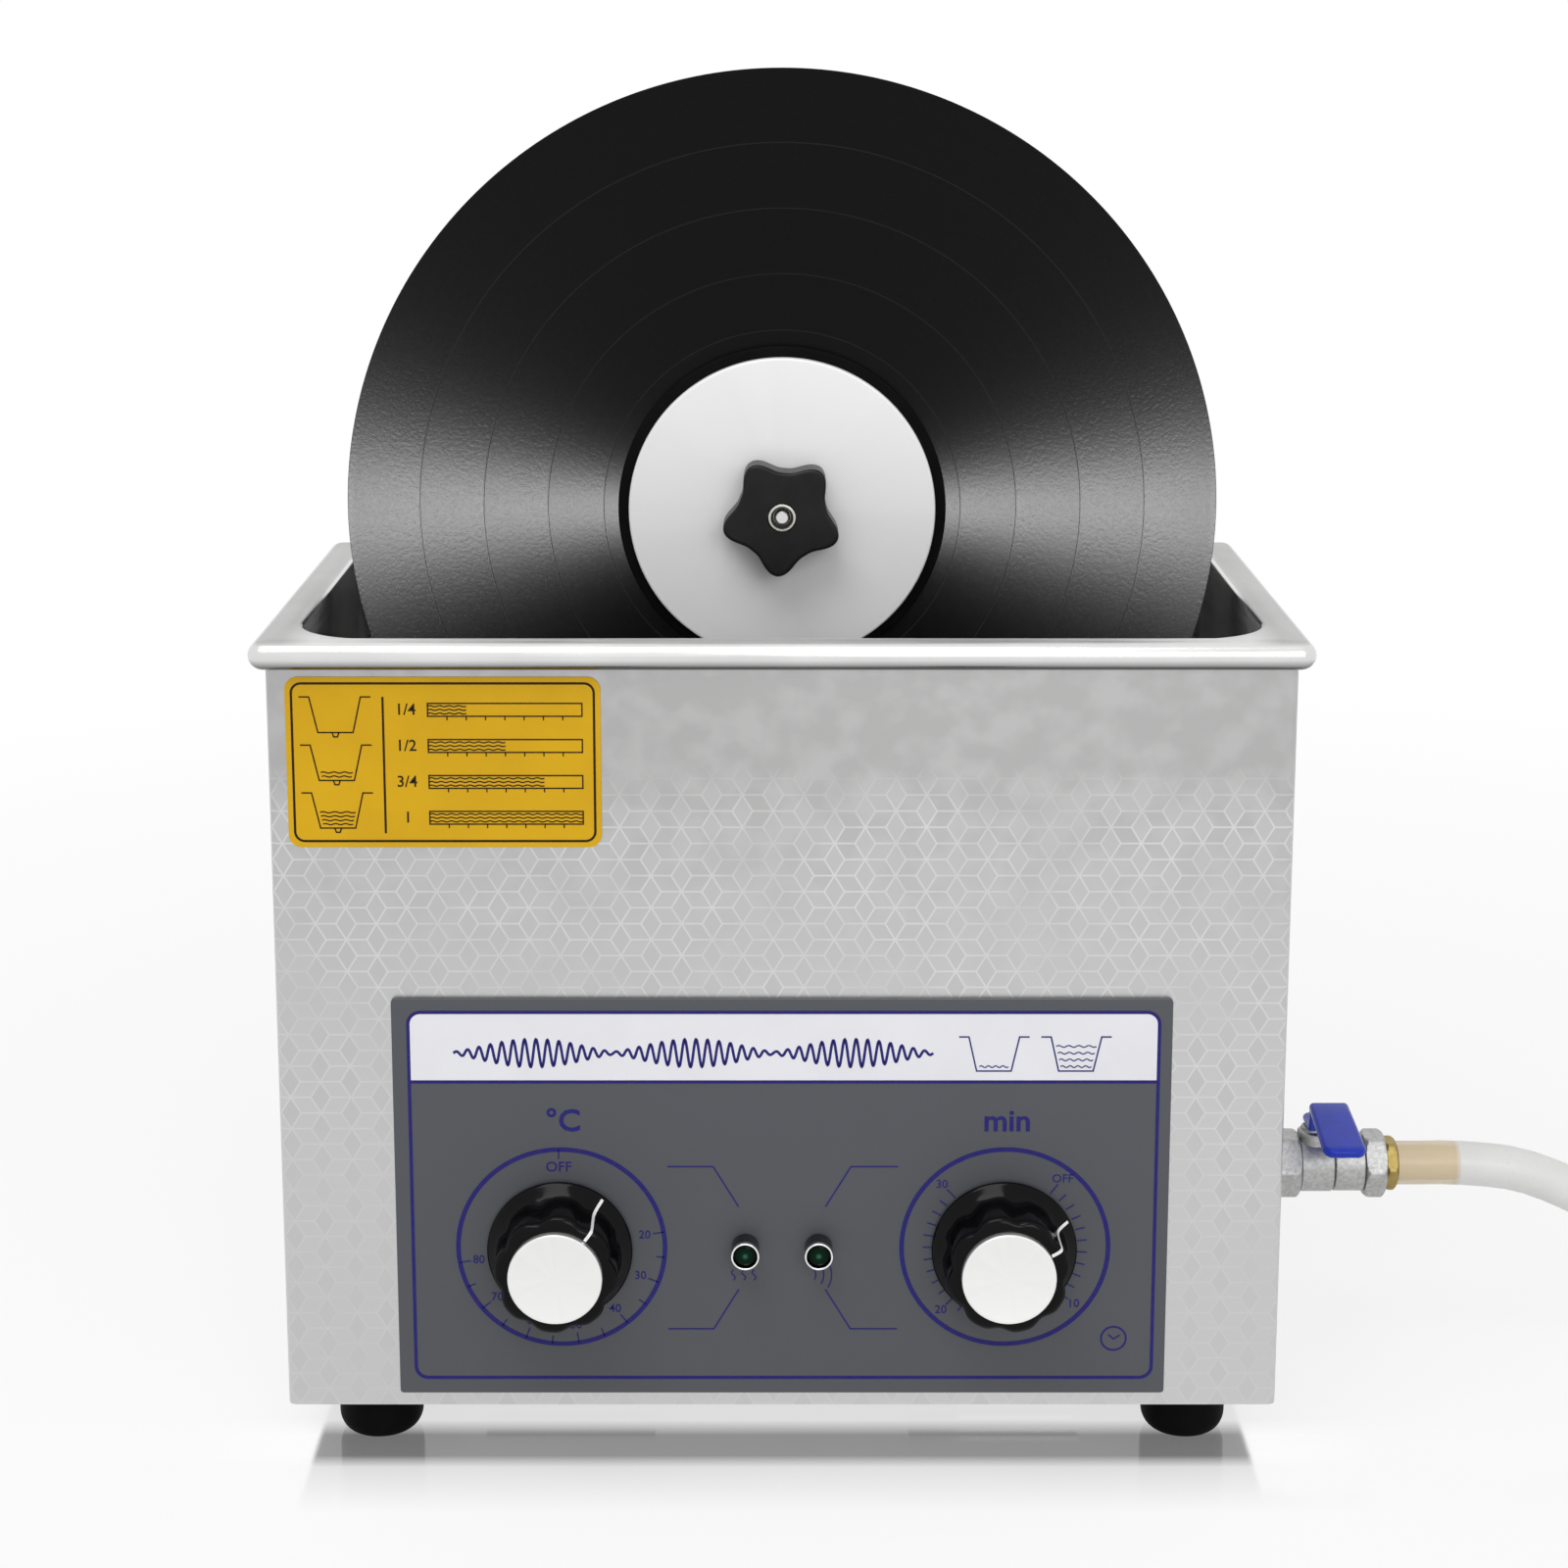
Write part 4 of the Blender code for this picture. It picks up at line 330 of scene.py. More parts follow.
def makePolarGroup():
    # Distance from the piece's own axis Z, and the place wrapped round it, for turned pieces
    tree, given, result = newGroup("roundTheAxis", [
        ("Vector", "NodeSocketVector", None),
    ], [("Radius", "NodeSocketFloat"), ("Vector", "NodeSocketVector")])
    parts = addNode(tree, "ShaderNodeSeparateXYZ", {"Vector": given["Vector"]}).outputs
    flat = addNode(tree, "ShaderNodeCombineXYZ", {"X": parts["X"], "Y": parts["Y"]}).outputs["Vector"]
    radius = vectorNode(tree, "LENGTH", flat)
    turn = mathNode(tree, "ARCTAN2", parts["Y"], parts["X"])
    wrapped = addNode(tree, "ShaderNodeCombineXYZ", {"X": radius, "Y": turn, "Z": parts["Z"]})
    tree.links.new(radius, result["Radius"])
    tree.links.new(wrapped.outputs["Vector"], result["Vector"])
    return tree


def makeCubeGroup():
    # Rolled cube pattern of sheet steel: three leaning rhombs round each star, with raised lines between, and painted
    # shade on one rhomb of the three
    tree, given, result = newGroup("cubePattern", [
        ("Vector", "NodeSocketVector", None),
        ("Pitch", "NodeSocketFloat", 0.0107),
        ("Line", "NodeSocketFloat", 0.0003),
    ], [("Line", "NodeSocketFloat"), ("FacetPaintedShade", "NodeSocketFloat")])
    wide = mathNode(tree, "MULTIPLY", given["Pitch"], math.sqrt(3))
    cell = addNode(tree, "ShaderNodeCombineXYZ", {"X": wide, "Y": given["Pitch"], "Z": 1.0}).outputs[0]
    half = vectorNode(tree, "SCALE", cell)
    half.node.inputs["Scale"].default_value = 0.5
    minusHalf = vectorNode(tree, "SCALE", cell)
    minusHalf.node.inputs["Scale"].default_value = -0.5
    first = vectorNode(tree, "WRAP", given["Vector"], half, minusHalf)
    shifted = vectorNode(tree, "ADD", given["Vector"], half)
    second = vectorNode(tree, "WRAP", shifted, half, minusHalf)
    flatten = (1.0, 1.0, 0.0)
    first = vectorNode(tree, "MULTIPLY", first, flatten)
    second = vectorNode(tree, "MULTIPLY", second, flatten)
    nearer = mathNode(
        tree, "LESS_THAN", vectorNode(tree, "LENGTH", second), vectorNode(tree, "LENGTH", first)
    )
    local = addNode(tree, "ShaderNodeMix", {0: nearer, 4: first, 5: second}, data_type="VECTOR").outputs[1]
    gaps = []
    for degrees in (0, 60, 120):
        lean = math.radians(degrees)
        across = vectorNode(tree, "DOT_PRODUCT", local, (-math.sin(lean), math.cos(lean), 0.0))
        gaps.append(mathNode(tree, "ABSOLUTE", across))
    least = mathNode(tree, "MINIMUM", mathNode(tree, "MINIMUM", gaps[0], gaps[1]), gaps[2])
    line = addNode(tree, "ShaderNodeMapRange", {
        "Value": least, "From Min": mathNode(tree, "MULTIPLY", given["Line"], 0.35),
        "From Max": given["Line"], "To Min": 1.0, "To Max": 0.0,
    }, interpolation_type="SMOOTHSTEP").outputs["Result"]
    parts = addNode(tree, "ShaderNodeSeparateXYZ", {"Vector": local}).outputs
    turn = mathNode(tree, "ARCTAN2", parts["Y"], parts["X"])
    turn = mathNode(tree, "WRAP", turn, math.pi, 0.0)
    # Marks one rhomb of the three for painted shade.
    facetPaintedShade = mathNode(tree, "COMPARE", turn, math.pi / 2, math.pi / 6)
    tree.links.new(line, result["Line"])
    tree.links.new(facetPaintedShade, result["FacetPaintedShade"])
    return tree


grainGroup = makeGrainGroup()
smudgeGroup = makeSmudgeGroup()
streakGroup = makeStreakGroup()
polarGroup = makePolarGroup()
cubeGroup = makeCubeGroup()


def placed(tree, group, inputs):
    made = tree.nodes.new("ShaderNodeGroup")
    made.node_tree = group
    for socket, value in inputs.items():
        if isinstance(value, bpy.types.NodeSocket):
            tree.links.new(value, made.inputs[socket])
        else:
            made.inputs[socket].default_value = value
    return made.outputs


def newMaterial(name, colour, roughness, metallic=0.0, **sockets):
    made = bpy.data.materials.new(name)
    made.use_nodes = True
    made.diffuse_color = (*colour, 1)
    shader = made.node_tree.nodes["Principled BSDF"]
    shader.inputs["Base Color"].default_value = (*colour, 1)
    shader.inputs["Roughness"].default_value = roughness
    shader.inputs["Metallic"].default_value = metallic
    for socket, value in sockets.items():
        shader.inputs[socket.replace("_", " ")].default_value = value
    where = made.node_tree.nodes.new("ShaderNodeTexCoord").outputs["Object"]
    return made, made.node_tree, shader.inputs, where


def grainy(name, look):
    # A finish with grain in its roughness and bump, and soft smudges in its colour
    made, tree, sockets, where = newMaterial(
        name, look["colour"], look["rough"][0], look.get("metallic", 0.0), **look.get("sockets", {})
    )
    grain = placed(tree, grainGroup, {
        "Vector": where, "Scale": look["grain"], "Low": look["rough"][0], "High": look["rough"][1],
        "Depth": look["depth"],
    })
    smudges = placed(tree, smudgeGroup, {
        "Vector": where, "Scale": look.get("patches", 30.0), "Clean": (*look["colour"], 1),
        "Worn": (*look["worn"], 1), "Amount": look.get("amount", 1.0),
    })
    tree.links.new(smudges["Color"], sockets["Base Color"])
    tree.links.new(grain["Spread"], sockets["Roughness"])
    tree.links.new(grain["Normal"], sockets["Normal"])
    return made


# Finishes

finishes = {
    "castSteel": {
        "colour": (0.50, 0.50, 0.495), "worn": (0.38, 0.38, 0.375), "metallic": 1.0, "rough": (0.38, 0.58),
        "grain": 1500.0, "depth": 0.00008, "patches": 700.0, "amount": 1.0,
    },
    "chrome": {
        "colour": (0.86, 0.86, 0.86), "worn": (0.78, 0.78, 0.78), "metallic": 1.0, "rough": (0.05, 0.12),
        "grain": 400.0, "depth": 0.000001, "patches": 200.0,
    },
    "brass": {
        "colour": (0.38, 0.29, 0.10), "worn": (0.28, 0.21, 0.07), "metallic": 1.0, "rough": (0.36, 0.50),
        "grain": 1400.0, "depth": 0.00002, "patches": 300.0, "amount": 0.7,
    },
    "glossBlack": {
        "colour": (0.0015, 0.0015, 0.0018), "worn": (0.003, 0.003, 0.0035), "rough": (0.09, 0.14),
        "grain": 500.0, "depth": 0.000002, "patches": 80.0, "sockets": {"Specular_IOR_Level": 0.11},
    },
    "matteBlack": {
        "colour": (0.017, 0.017, 0.018), "worn": (0.024, 0.024, 0.025), "rough": (0.40, 0.56),
        "grain": 2200.0, "depth": 0.00002, "patches": 60.0, "amount": 0.8,
    },
    "knobBlack": {
        "colour": (0.006, 0.006, 0.0065), "worn": (0.010, 0.010, 0.0105), "rough": (0.30, 0.42),
        "grain": 1500.0, "depth": 0.00001, "patches": 120.0, "sockets": {"Specular_IOR_Level": 0.19},
    },
    "rubber": {
        "colour": (0.0015, 0.0015, 0.0015), "worn": (0.003, 0.003, 0.003), "rough": (0.55, 0.75),
        "grain": 1800.0, "depth": 0.00002, "patches": 90.0, "sockets": {"Specular_IOR_Level": 0.06},
    },
    "blueDip": {
        "colour": (0.014, 0.040, 0.480), "worn": (0.012, 0.032, 0.400), "rough": (0.16, 0.26),
        "grain": 700.0, "depth": 0.000008, "patches": 150.0, "sockets": {"Specular_IOR_Level": 0.22},
    },
    "ceramic": {
        "colour": (0.60, 0.55, 0.45), "worn": (0.50, 0.46, 0.38), "rough": (0.50, 0.70),
        "grain": 900.0, "depth": 0.00001,
    },
    "heaterMat": {
        "colour": (0.45, 0.10, 0.03), "worn": (0.36, 0.08, 0.03), "rough": (0.60, 0.80),
        "grain": 1500.0, "depth": 0.00004,
    },
    "inkBlue": {
        "colour": (0.018, 0.014, 0.158), "worn": (0.024, 0.020, 0.142), "rough": (0.35, 0.50),
        "grain": 3000.0, "depth": 0.000002, "patches": 400.0, "sockets": {"Specular_IOR_Level": 0.15},
    },
    "inkDark": {
        "colour": (0.016, 0.008, 0.003), "worn": (0.024, 0.012, 0.004), "rough": (0.40, 0.55),
        "grain": 3000.0, "depth": 0.000002, "patches": 400.0, "sockets": {"Specular_IOR_Level": 0.15},
    },
    "inkWhite": {
        "colour": (0.76, 0.76, 0.80), "worn": (0.73, 0.73, 0.77), "rough": (0.35, 0.50),
        "grain": 2500.0, "depth": 0.000002, "patches": 40.0,
    },
    "pointerWhite": {
        "colour": (0.86, 0.86, 0.85), "worn": (0.78, 0.78, 0.77), "rough": (0.35, 0.50),
        "grain": 2000.0, "depth": 0.000004, "patches": 400.0,
    },
    "yellowFilm": {
        "colour": (0.64, 0.37, 0.005), "worn": (0.58, 0.33, 0.005), "rough": (0.34, 0.46),
        "grain": 1800.0, "depth": 0.000004, "patches": 25.0, "sockets": {"Specular_IOR_Level": 0.2},
    },
    "pinSteel": {
        "colour": (0.62, 0.60, 0.55), "worn": (0.50, 0.49, 0.45), "metallic": 1.0, "rough": (0.18, 0.30),
        "grain": 1200.0, "depth": 0.00001, "patches": 300.0,
    },
}
paint = {name: grainy(name, look) for name, look in finishes.items()}


def makeHousingSteel():
    # Satin sheet with a rolled cube pattern: u runs along each wall and v up it
    look = {
        "low": (0.590, 0.590, 0.590), "high": (0.445, 0.445, 0.443), "line": (0.672, 0.672, 0.672),
        "facetPaintedShade": (0.542, 0.542, 0.542), "pitch": 0.0107, "width": 0.00040, "widened": 1.06,
    }
    made, tree, sockets, where = newMaterial("housingSteel", look["low"], 0.36, 1.0)
    coordinates = tree.nodes.new("ShaderNodeTexCoord").outputs
    place = addNode(tree, "ShaderNodeSeparateXYZ", {"Vector": where}).outputs
    facing = addNode(tree, "ShaderNodeSeparateXYZ", {"Vector": coordinates["Normal"]}).outputs
    onSide = mathNode(tree, "GREATER_THAN", mathNode(tree, "ABSOLUTE", facing["X"]), 0.7)
    along = addNode(tree, "ShaderNodeMix", {0: onSide, 2: place["X"], 3: place["Y"]}).outputs[0]
    along = mathNode(tree, "DIVIDE", along, look["widened"])
    wall = addNode(tree, "ShaderNodeCombineXYZ", {"X": along, "Y": place["Z"]}).outputs["Vector"]
    cubes = placed(tree, cubeGroup, {"Vector": wall, "Pitch": look["pitch"], "Line": look["width"]})
    # The rolling is worn nearly smooth in places and fades out in the band under the rim, which painted shade darkens.
    worn = addNode(tree, "ShaderNodeTexNoise", {"Vector": wall, "Scale": 34.0, "Detail": 3.0})
    patches = spread(tree, worn.outputs["Fac"], 0.36, 0.62, 0.35, 1.0)
    below = spread(tree, place["Z"], 0.220, 0.240, 1.0, 0.0)
    above = spread(tree, place["Z"], 0.060, 0.150, 0.45, 1.0)
    strength = mathNode(tree, "MULTIPLY", mathNode(tree, "MULTIPLY", patches, below), above)
    line = mathNode(tree, "MULTIPLY", cubes["Line"], strength)
    tone = mathNode(tree, "MULTIPLY", cubes["FacetPaintedShade"], strength)
    # Painted shade: the wall darkens from the low colour towards the high one near the top, under the rim.
    height = spread(tree, place["Z"], 0.100, 0.245, 0.0, 1.0)
    height = mathNode(tree, "MULTIPLY", height, height)
    # The band's soft blotches shift its painted shade a little.
    cloud = addNode(tree, "ShaderNodeTexNoise", {"Vector": wall, "Scale": 85.0, "Detail": 2.0})
    blotches = spread(tree, cloud.outputs["Fac"], 0.38, 0.62, 0.66, 1.08)
    height = mathNode(tree, "MULTIPLY", height, blotches)
    paintedShadeGround = mixColour(tree, height, (*look["low"], 1), (*look["high"], 1))
    # Painted shade darkens one rhomb of three, and the raised lines are paler.
    facetPaintedShadeColour = mixColour(tree, tone, paintedShadeGround, (*look["facetPaintedShade"], 1))
    tree.links.new(mixColour(tree, line, facetPaintedShadeColour, (*look["line"], 1)), sockets["Base Color"])
    grain = placed(tree, grainGroup, {
        "Vector": where, "Scale": 900.0, "Low": 0.33, "High": 0.42, "Depth": 0.000006,
    })
    tree.links.new(grain["Spread"], sockets["Roughness"])
    relief = addNode(tree, "ShaderNodeBump", {
        "Height": line, "Distance": 0.00003, "Strength": 0.4, "Normal": grain["Normal"],
    })
    tree.links.new(relief.outputs["Normal"], sockets["Normal"])
    return made


def makeTankSteel():
    # Drawn and polished sheet: faint belt lines run round the tank, and clean patches vary its gloss
    # ends and under set how far painted shade darkens the end flats and the roll's underside.
    look = {"clean": (0.76, 0.76, 0.755), "worn": (0.68, 0.68, 0.675), "ends": 0.68, "under": 0.22}
    made, tree, sockets, where = newMaterial("tankSteel", look["clean"], 0.2, 1.0)
    lines = placed(tree, streakGroup, {
        "Vector": where, "Stretch": (25.0, 25.0, 1400.0), "Low": 0.17, "High": 0.26, "Depth": 0.000003,
    })
    smudges = placed(tree, smudgeGroup, {
        "Vector": where, "Scale": 22.0, "Clean": (*look["clean"], 1), "Worn": (*look["worn"], 1),
        "Amount": 0.8,
    })
    # Painted shade: the flats at the ends are painted greyer, and the curled underside of the roll is painted darker.
    facing = tree.nodes.new("ShaderNodeTexCoord").outputs["Normal"]
    up = addNode(tree, "ShaderNodeSeparateXYZ", {"Vector": facing}).outputs["Z"]
    place = addNode(tree, "ShaderNodeSeparateXYZ", {"Vector": where}).outputs
    atEnd = spread(tree, mathNode(tree, "ABSOLUTE", place["X"]), 0.148, 0.158, 0.0, 1.0)
    flat = mathNode(tree, "MULTIPLY", spread(tree, up, 0.75, 0.95, 0.0, 1.0), atEnd)
    endsPaintedShade = spread(tree, flat, 0.0, 1.0, 1.0, look["ends"])
    underPaintedShade = spread(tree, up, -0.75, -0.15, look["under"], 1.0)
    shade = mathNode(tree, "MULTIPLY", endsPaintedShade, underPaintedShade)
    tone = addNode(tree, "ShaderNodeHueSaturation", {"Color": smudges["Color"], "Value": shade})
    tree.links.new(tone.outputs["Color"], sockets["Base Color"])
    # The flats of the rim are satin, so they stay pale next to the dark record.
    satin = spread(tree, up, 0.80, 0.97, 0.0, 0.26)
    tree.links.new(mathNode(tree, "ADD", lines["Spread"], satin), sockets["Roughness"])
    tree.links.new(lines["Normal"], sockets["Normal"])
    return made


def makeTurnedMetal(name, colour, worn, rough, metallic, rings, depth):
    # Faint tool rings round the piece's own axis, and a slow change of tone round it
    made, tree, sockets, where = newMaterial(name, colour, rough[0], metallic)
    polar = placed(tree, polarGroup, {"Vector": where})
    lines = placed(tree, streakGroup, {
        "Vector": polar["Vector"], "Stretch": (rings, 0.6, rings), "Low": rough[0], "High": rough[1],
        "Depth": depth,
    })
    sectors = placed(tree, smudgeGroup, {
        "Vector": vectorNode(tree, "MULTIPLY", polar["Vector"], (0.0, 1.0, 0.0)), "Scale": 2.4,
        "Clean": (*colour, 1), "Worn": (*worn, 1), "Amount": 0.6,
    })
    tree.links.new(sectors["Color"], sockets["Base Color"])
    tree.links.new(lines["Spread"], sockets["Roughness"])
    tree.links.new(lines["Normal"], sockets["Normal"])
    return made


def makePanelFilm():
    # Printed plastic film: even grey with a fine speckle of pigment
    made, tree, sockets, where = newMaterial("panelFilm", (0.065, 0.070, 0.081), 0.5)
    grain = placed(tree, grainGroup, {
        "Vector": where, "Scale": 1600.0, "Low": 0.42, "High": 0.55, "Depth": 0.000012,
    })
    fine = mixColour(tree, grain["Value"], (0.055, 0.060, 0.070, 1), (0.075, 0.080, 0.092, 1))
    smudges = placed(tree, smudgeGroup, {
        "Vector": where, "Scale": 30.0, "Clean": fine, "Worn": (0.062, 0.067, 0.077, 1), "Amount": 0.5,
    })
    tree.links.new(smudges["Color"], sockets["Base Color"])
    tree.links.new(grain["Spread"], sockets["Roughness"])
    tree.links.new(grain["Normal"], sockets["Normal"])
    return made


def makeVinyl():
    # The grooves run round the record, so its gloss stretches across them.
    made, tree, sockets, where = newMaterial(
        "vinyl", (0.0045, 0.0045, 0.0046), 0.30, Specular_IOR_Level=0.10, Anisotropic=1.0,
        Anisotropic_Rotation=0.25,
    )
    tangent = addNode(tree, "ShaderNodeTangent", direction_type="RADIAL", axis="Z")
    tree.links.new(tangent.outputs["Tangent"], sockets["Tangent"])
    grain = placed(tree, grainGroup, {
        "Vector": where, "Scale": 760.0, "Low": 0.285, "High": 0.315, "Depth": 0.00003,
    })
    polar = placed(tree, polarGroup, {"Vector": where})
    grooves = placed(tree, streakGroup, {
        "Vector": polar["Vector"], "Stretch": (1500.0, 0.5, 0.0), "Low": 0.0, "High": 1.0, "Depth": 0.00001,
    })
    tone = mixColour(tree, grooves["Spread"], (0.0024, 0.0024, 0.0025, 1), (0.0044, 0.0044, 0.0045, 1))
    fleck = mixColour(tree, grain["Value"], (0.0010, 0.0010, 0.0010, 1), (0.0090, 0.0090, 0.0091, 1))
    tone = mixColour(tree, 0.42, tone, fleck)
    # Thin paler rings of painted sheen stand where the tracks part.
    rings = 0.0
    for band in record["bands"]:
        near = mathNode(tree, "COMPARE", polar["Radius"], band, record["ringHalf"])
        rings = mathNode(tree, "MAXIMUM", near, rings)
    tree.links.new(mixColour(tree, rings, tone, (0.022, 0.022, 0.022, 1)), sockets["Base Color"])
    tree.links.new(grain["Spread"], sockets["Roughness"])
    tree.links.new(grain["Normal"], sockets["Normal"])
    return made


def makeLensGreen():
    made, tree, sockets, where = newMaterial(
        "lensGreen", (0.001, 0.014, 0.007), 0.08, Specular_IOR_Level=0.05
    )
    polar = placed(tree, polarGroup, {"Vector": where})
    ring = spread(tree, polar["Radius"], 0.0012, 0.0034, 0.0, 1.0)
    tone = mixColour(tree, ring, (0.0015, 0.018, 0.008, 1), (0.0005, 0.004, 0.002, 1))
    # A painted glint lightens the middle of the lens, over the unlit chip.
    paintedGlint = spread(tree, polar["Radius"], 0.0003, 0.0011, 1.0, 0.0)
    tone = mixColour(tree, paintedGlint, tone, (0.030, 0.110, 0.062, 1))
    grain = placed(tree, grainGroup, {
        "Vector": where, "Scale": 900.0, "Low": 0.05, "High": 0.10, "Depth": 0.000002,
    })
    tree.links.new(tone, sockets["Base Color"])
    tree.links.new(grain["Spread"], sockets["Roughness"])
    tree.links.new(grain["Normal"], sockets["Normal"])
    return made


def makeBezelChrome():
    # Bright on the ring, and dark down the sleeve, which stands in its own shade
    look = {"bright": (0.88, 0.88, 0.88), "sleeve": (0.10, 0.10, 0.105), "from": 0.0066, "to": 0.0074}
    made, tree, sockets, where = newMaterial("bezelChrome", look["bright"], 0.1, 1.0)
    height = addNode(tree, "ShaderNodeSeparateXYZ", {"Vector": where}).outputs["Z"]
    ring = spread(tree, height, look["from"], look["to"], 0.0, 1.0)
    grain = placed(tree, grainGroup, {
        "Vector": where, "Scale": 700.0, "Low": 0.08, "High": 0.16, "Depth": 0.000001,
    })
    tone = mixColour(tree, ring, (*look["sleeve"], 1), (*look["bright"], 1))
    tree.links.new(tone, sockets["Base Color"])
    tree.links.new(grain["Spread"], sockets["Roughness"])
    tree.links.new(grain["Normal"], sockets["Normal"])
    return made


def makeMilkyHose():
    # Milky tube: the wall lets the brass show through where it is stretched over the barb
    look = {
        "colour": (0.86, 0.86, 0.85), "warm": (0.86, 0.72, 0.50), "overBarb": 0.62, "free": 0.82,
        "barbEnd": 0.0214,
    }
    made, tree, sockets, where = newMaterial("milkyHose", look["colour"], 0.3, Subsurface_Weight=0.15)
    sockets["Subsurface Radius"].default_value = (0.004, 0.004, 0.004)
    place = addNode(tree, "ShaderNodeSeparateXYZ", {"Vector": where}).outputs
    past = spread(tree, place["X"], look["barbEnd"] - 0.001, look["barbEnd"] + 0.001, 0.0, 1.0)
    grain = placed(tree, grainGroup, {
        "Vector": where, "Scale": 500.0, "Low": 0.26, "High": 0.38, "Depth": 0.00001,
    })
    smudges = placed(tree, smudgeGroup, {
        "Vector": where, "Scale": 60.0, "Clean": (*look["colour"], 1), "Worn": (0.80, 0.80, 0.79, 1),
        "Amount": 0.6,
    })
    clear = spread(tree, past, 0.0, 1.0, look["overBarb"], look["free"])
    tone = mixColour(tree, past, (*look["warm"], 1), smudges["Color"])
    tree.links.new(tone, sockets["Base Color"])
    tree.links.new(grain["Spread"], sockets["Roughness"])
    tree.links.new(grain["Normal"], sockets["Normal"])
    tree.links.new(clear, sockets["Alpha"])
    return made


paint["housingSteel"] = makeHousingSteel()
paint["tankSteel"] = makeTankSteel()
paint["turnedSteel"] = makeTurnedMetal(
    "turnedSteel", (0.70, 0.70, 0.69), (0.62, 0.62, 0.61), (0.14, 0.24), 1.0, 3000.0, 0.000004
)
paint["capAluminium"] = makeTurnedMetal(
    "capAluminium", (0.88, 0.88, 0.87), (0.84, 0.84, 0.83), (0.34, 0.42), 0.85, 5000.0, 0.000003
)
paint["discAluminium"] = makeTurnedMetal(
    "discAluminium", (0.81, 0.81, 0.81), (0.78, 0.78, 0.78), (0.40, 0.50), 0.15, 1500.0, 0.000002
)
paint["panelFilm"] = makePanelFilm()
paint["lensGreen"] = makeLensGreen()
paint["bezelChrome"] = makeBezelChrome()
paint["milkyHose"] = makeMilkyHose()
print("finishes mixed")


# Drain hose: one tube from the brass nut down to the floor and round its coil

hose = {
    "start": 0.2193, "height": 0.0709, "radius": 0.00775, "overBarb": 0.0077, "bore": 0.0056,
    "step": 0.008, "sides": 32, "coilRadius": 0.080, "turns": 1.82, "turnGap": 0.0009, "loopPoints": 48,
    "route": (
        (0.0000, 0.0000, 0.0000), (0.0118, 0.0000, 0.0000), (0.0236, 0.0000, -0.0001),
        (0.0480, 0.0000, -0.0037), (0.0800, 0.0000, -0.0190), (0.1110, 0.0000, -0.0418),
        (0.1420, 0.0000, -0.0588), (0.1720, 0.0000, -0.0629), (0.1850, 0.0000, -0.0629),
    ),
}


def smoothRoute(route, step):
    knots = [Vector(point) for point in route]
    knots = [2 * knots[0] - knots[1]] + knots + [2 * knots[-1] - knots[-2]]
    fine = []
    for before, start, end, after in zip(knots, knots[1:], knots[2:], knots[3:]):
        for part in range(16):
            t = part / 16
            fine.append(0.5 * (
                2 * start + (end - before) * t + (2 * before - 5 * start + 4 * end - after) * t ** 2
                + (3 * start - before - 3 * end + after) * t ** 3
            ))
    fine.append(knots[-2])
    lengths = [0]
    for first, second in zip(fine, fine[1:]):
        lengths.append(lengths[-1] + (second - first).length)
    count = max(2, round(lengths[-1] / step))
    points, place = [], 0
    for number in range(count + 1):
        wanted = lengths[-1] * number / count
        while place < len(fine) - 2 and lengths[place + 1] < wanted:
            place += 1
        gap = lengths[place + 1] - lengths[place]
        points.append(fine[place].lerp(fine[place + 1], (wanted - lengths[place]) / gap))
    return points


def coilPoints(start):
    diameter = 2 * hose["radius"]
    spacing = diameter + hose["turnGap"]
    centre = start + Vector((diameter, hose["coilRadius"], 0))
    sweep = 2 * math.pi * hose["turns"]
    points = [start, start + Vector((diameter / 2, 0, 0))]
    count = round(hose["turns"] * hose["loopPoints"])
    for number in range(count + 1):
        swept = sweep * number / count
        inward = min(swept, sweep - swept) / (2 * math.pi)
        climbed = min(max((swept - sweep / 2) / math.pi + 0.5, 0), 1)
        radius = hose["coilRadius"] - spacing * inward
        angle = swept - math.pi / 2
        climb = spacing * climbed * climbed * (3 - 2 * climbed)
        points.append(centre + Vector((radius * math.cos(angle), radius * math.sin(angle), climb)))
    return points


def tubeRings(points, radii, sides):
    # Rings square to the path, carried along it without twist
    rings = []
    side = Vector((0, 1, 0))
    for here, point in enumerate(points):
        before = points[max(here - 1, 0)]
        after = points[min(here + 1, len(points) - 1)]
        along = (after - before).normalized()
        side = (side - along * side.dot(along)).normalized()
        up = along.cross(side)
        rings.append([
            point + radii[here] * (side * math.cos(turn) + up * math.sin(turn))
            for turn in (2 * math.pi * step / sides for step in range(sides))
        ])
    return rings


def makeHose():
    route = smoothRoute(hose["route"], hose["step"])
    points = route + coilPoints(route[-1] + Vector((seatGap, 0, 0)))
    outer, inner, run = [], [], 0.0
    for here, point in enumerate(points):
        run += (point - points[here - 1]).length if here else 0.0
        share = min(run / 0.030, 1.0)
        outer.append(hose["overBarb"] + (hose["radius"] - hose["overBarb"]) * share * share * (3 - 2 * share))
        inner.append(0.0063 if run < 0.0225 else hose["bore"])
    rings = tubeRings(points, outer, hose["sides"]) + tubeRings(points, inner, hose["sides"])[::-1]
    mesh = loftMesh("drainHose", rings, looped=True)
    made = piece(
        "drainHose", mesh, paint["milkyHose"], "cleaner",
        at(hose["start"], 0, hose["height"]), hides=("drain_hose", "hose_coil"),
    )


makeHose()
print("hose laid")


# Tank, drawn from one sheet with a rolled rim

tank = {
    "length": 0.311, "width": 0.168, "depth": 0.155, "corner": 0.026, "floorRadius": 0.012,
    "rimTop": 0.281, "rimWidth": 0.0095, "endExtra": 0.0040, "edge": 0.0018, "roll": 0.0046,
    "rimCorner": 0.0054, "crown": 0.0006, "sheet": 0.001,
}


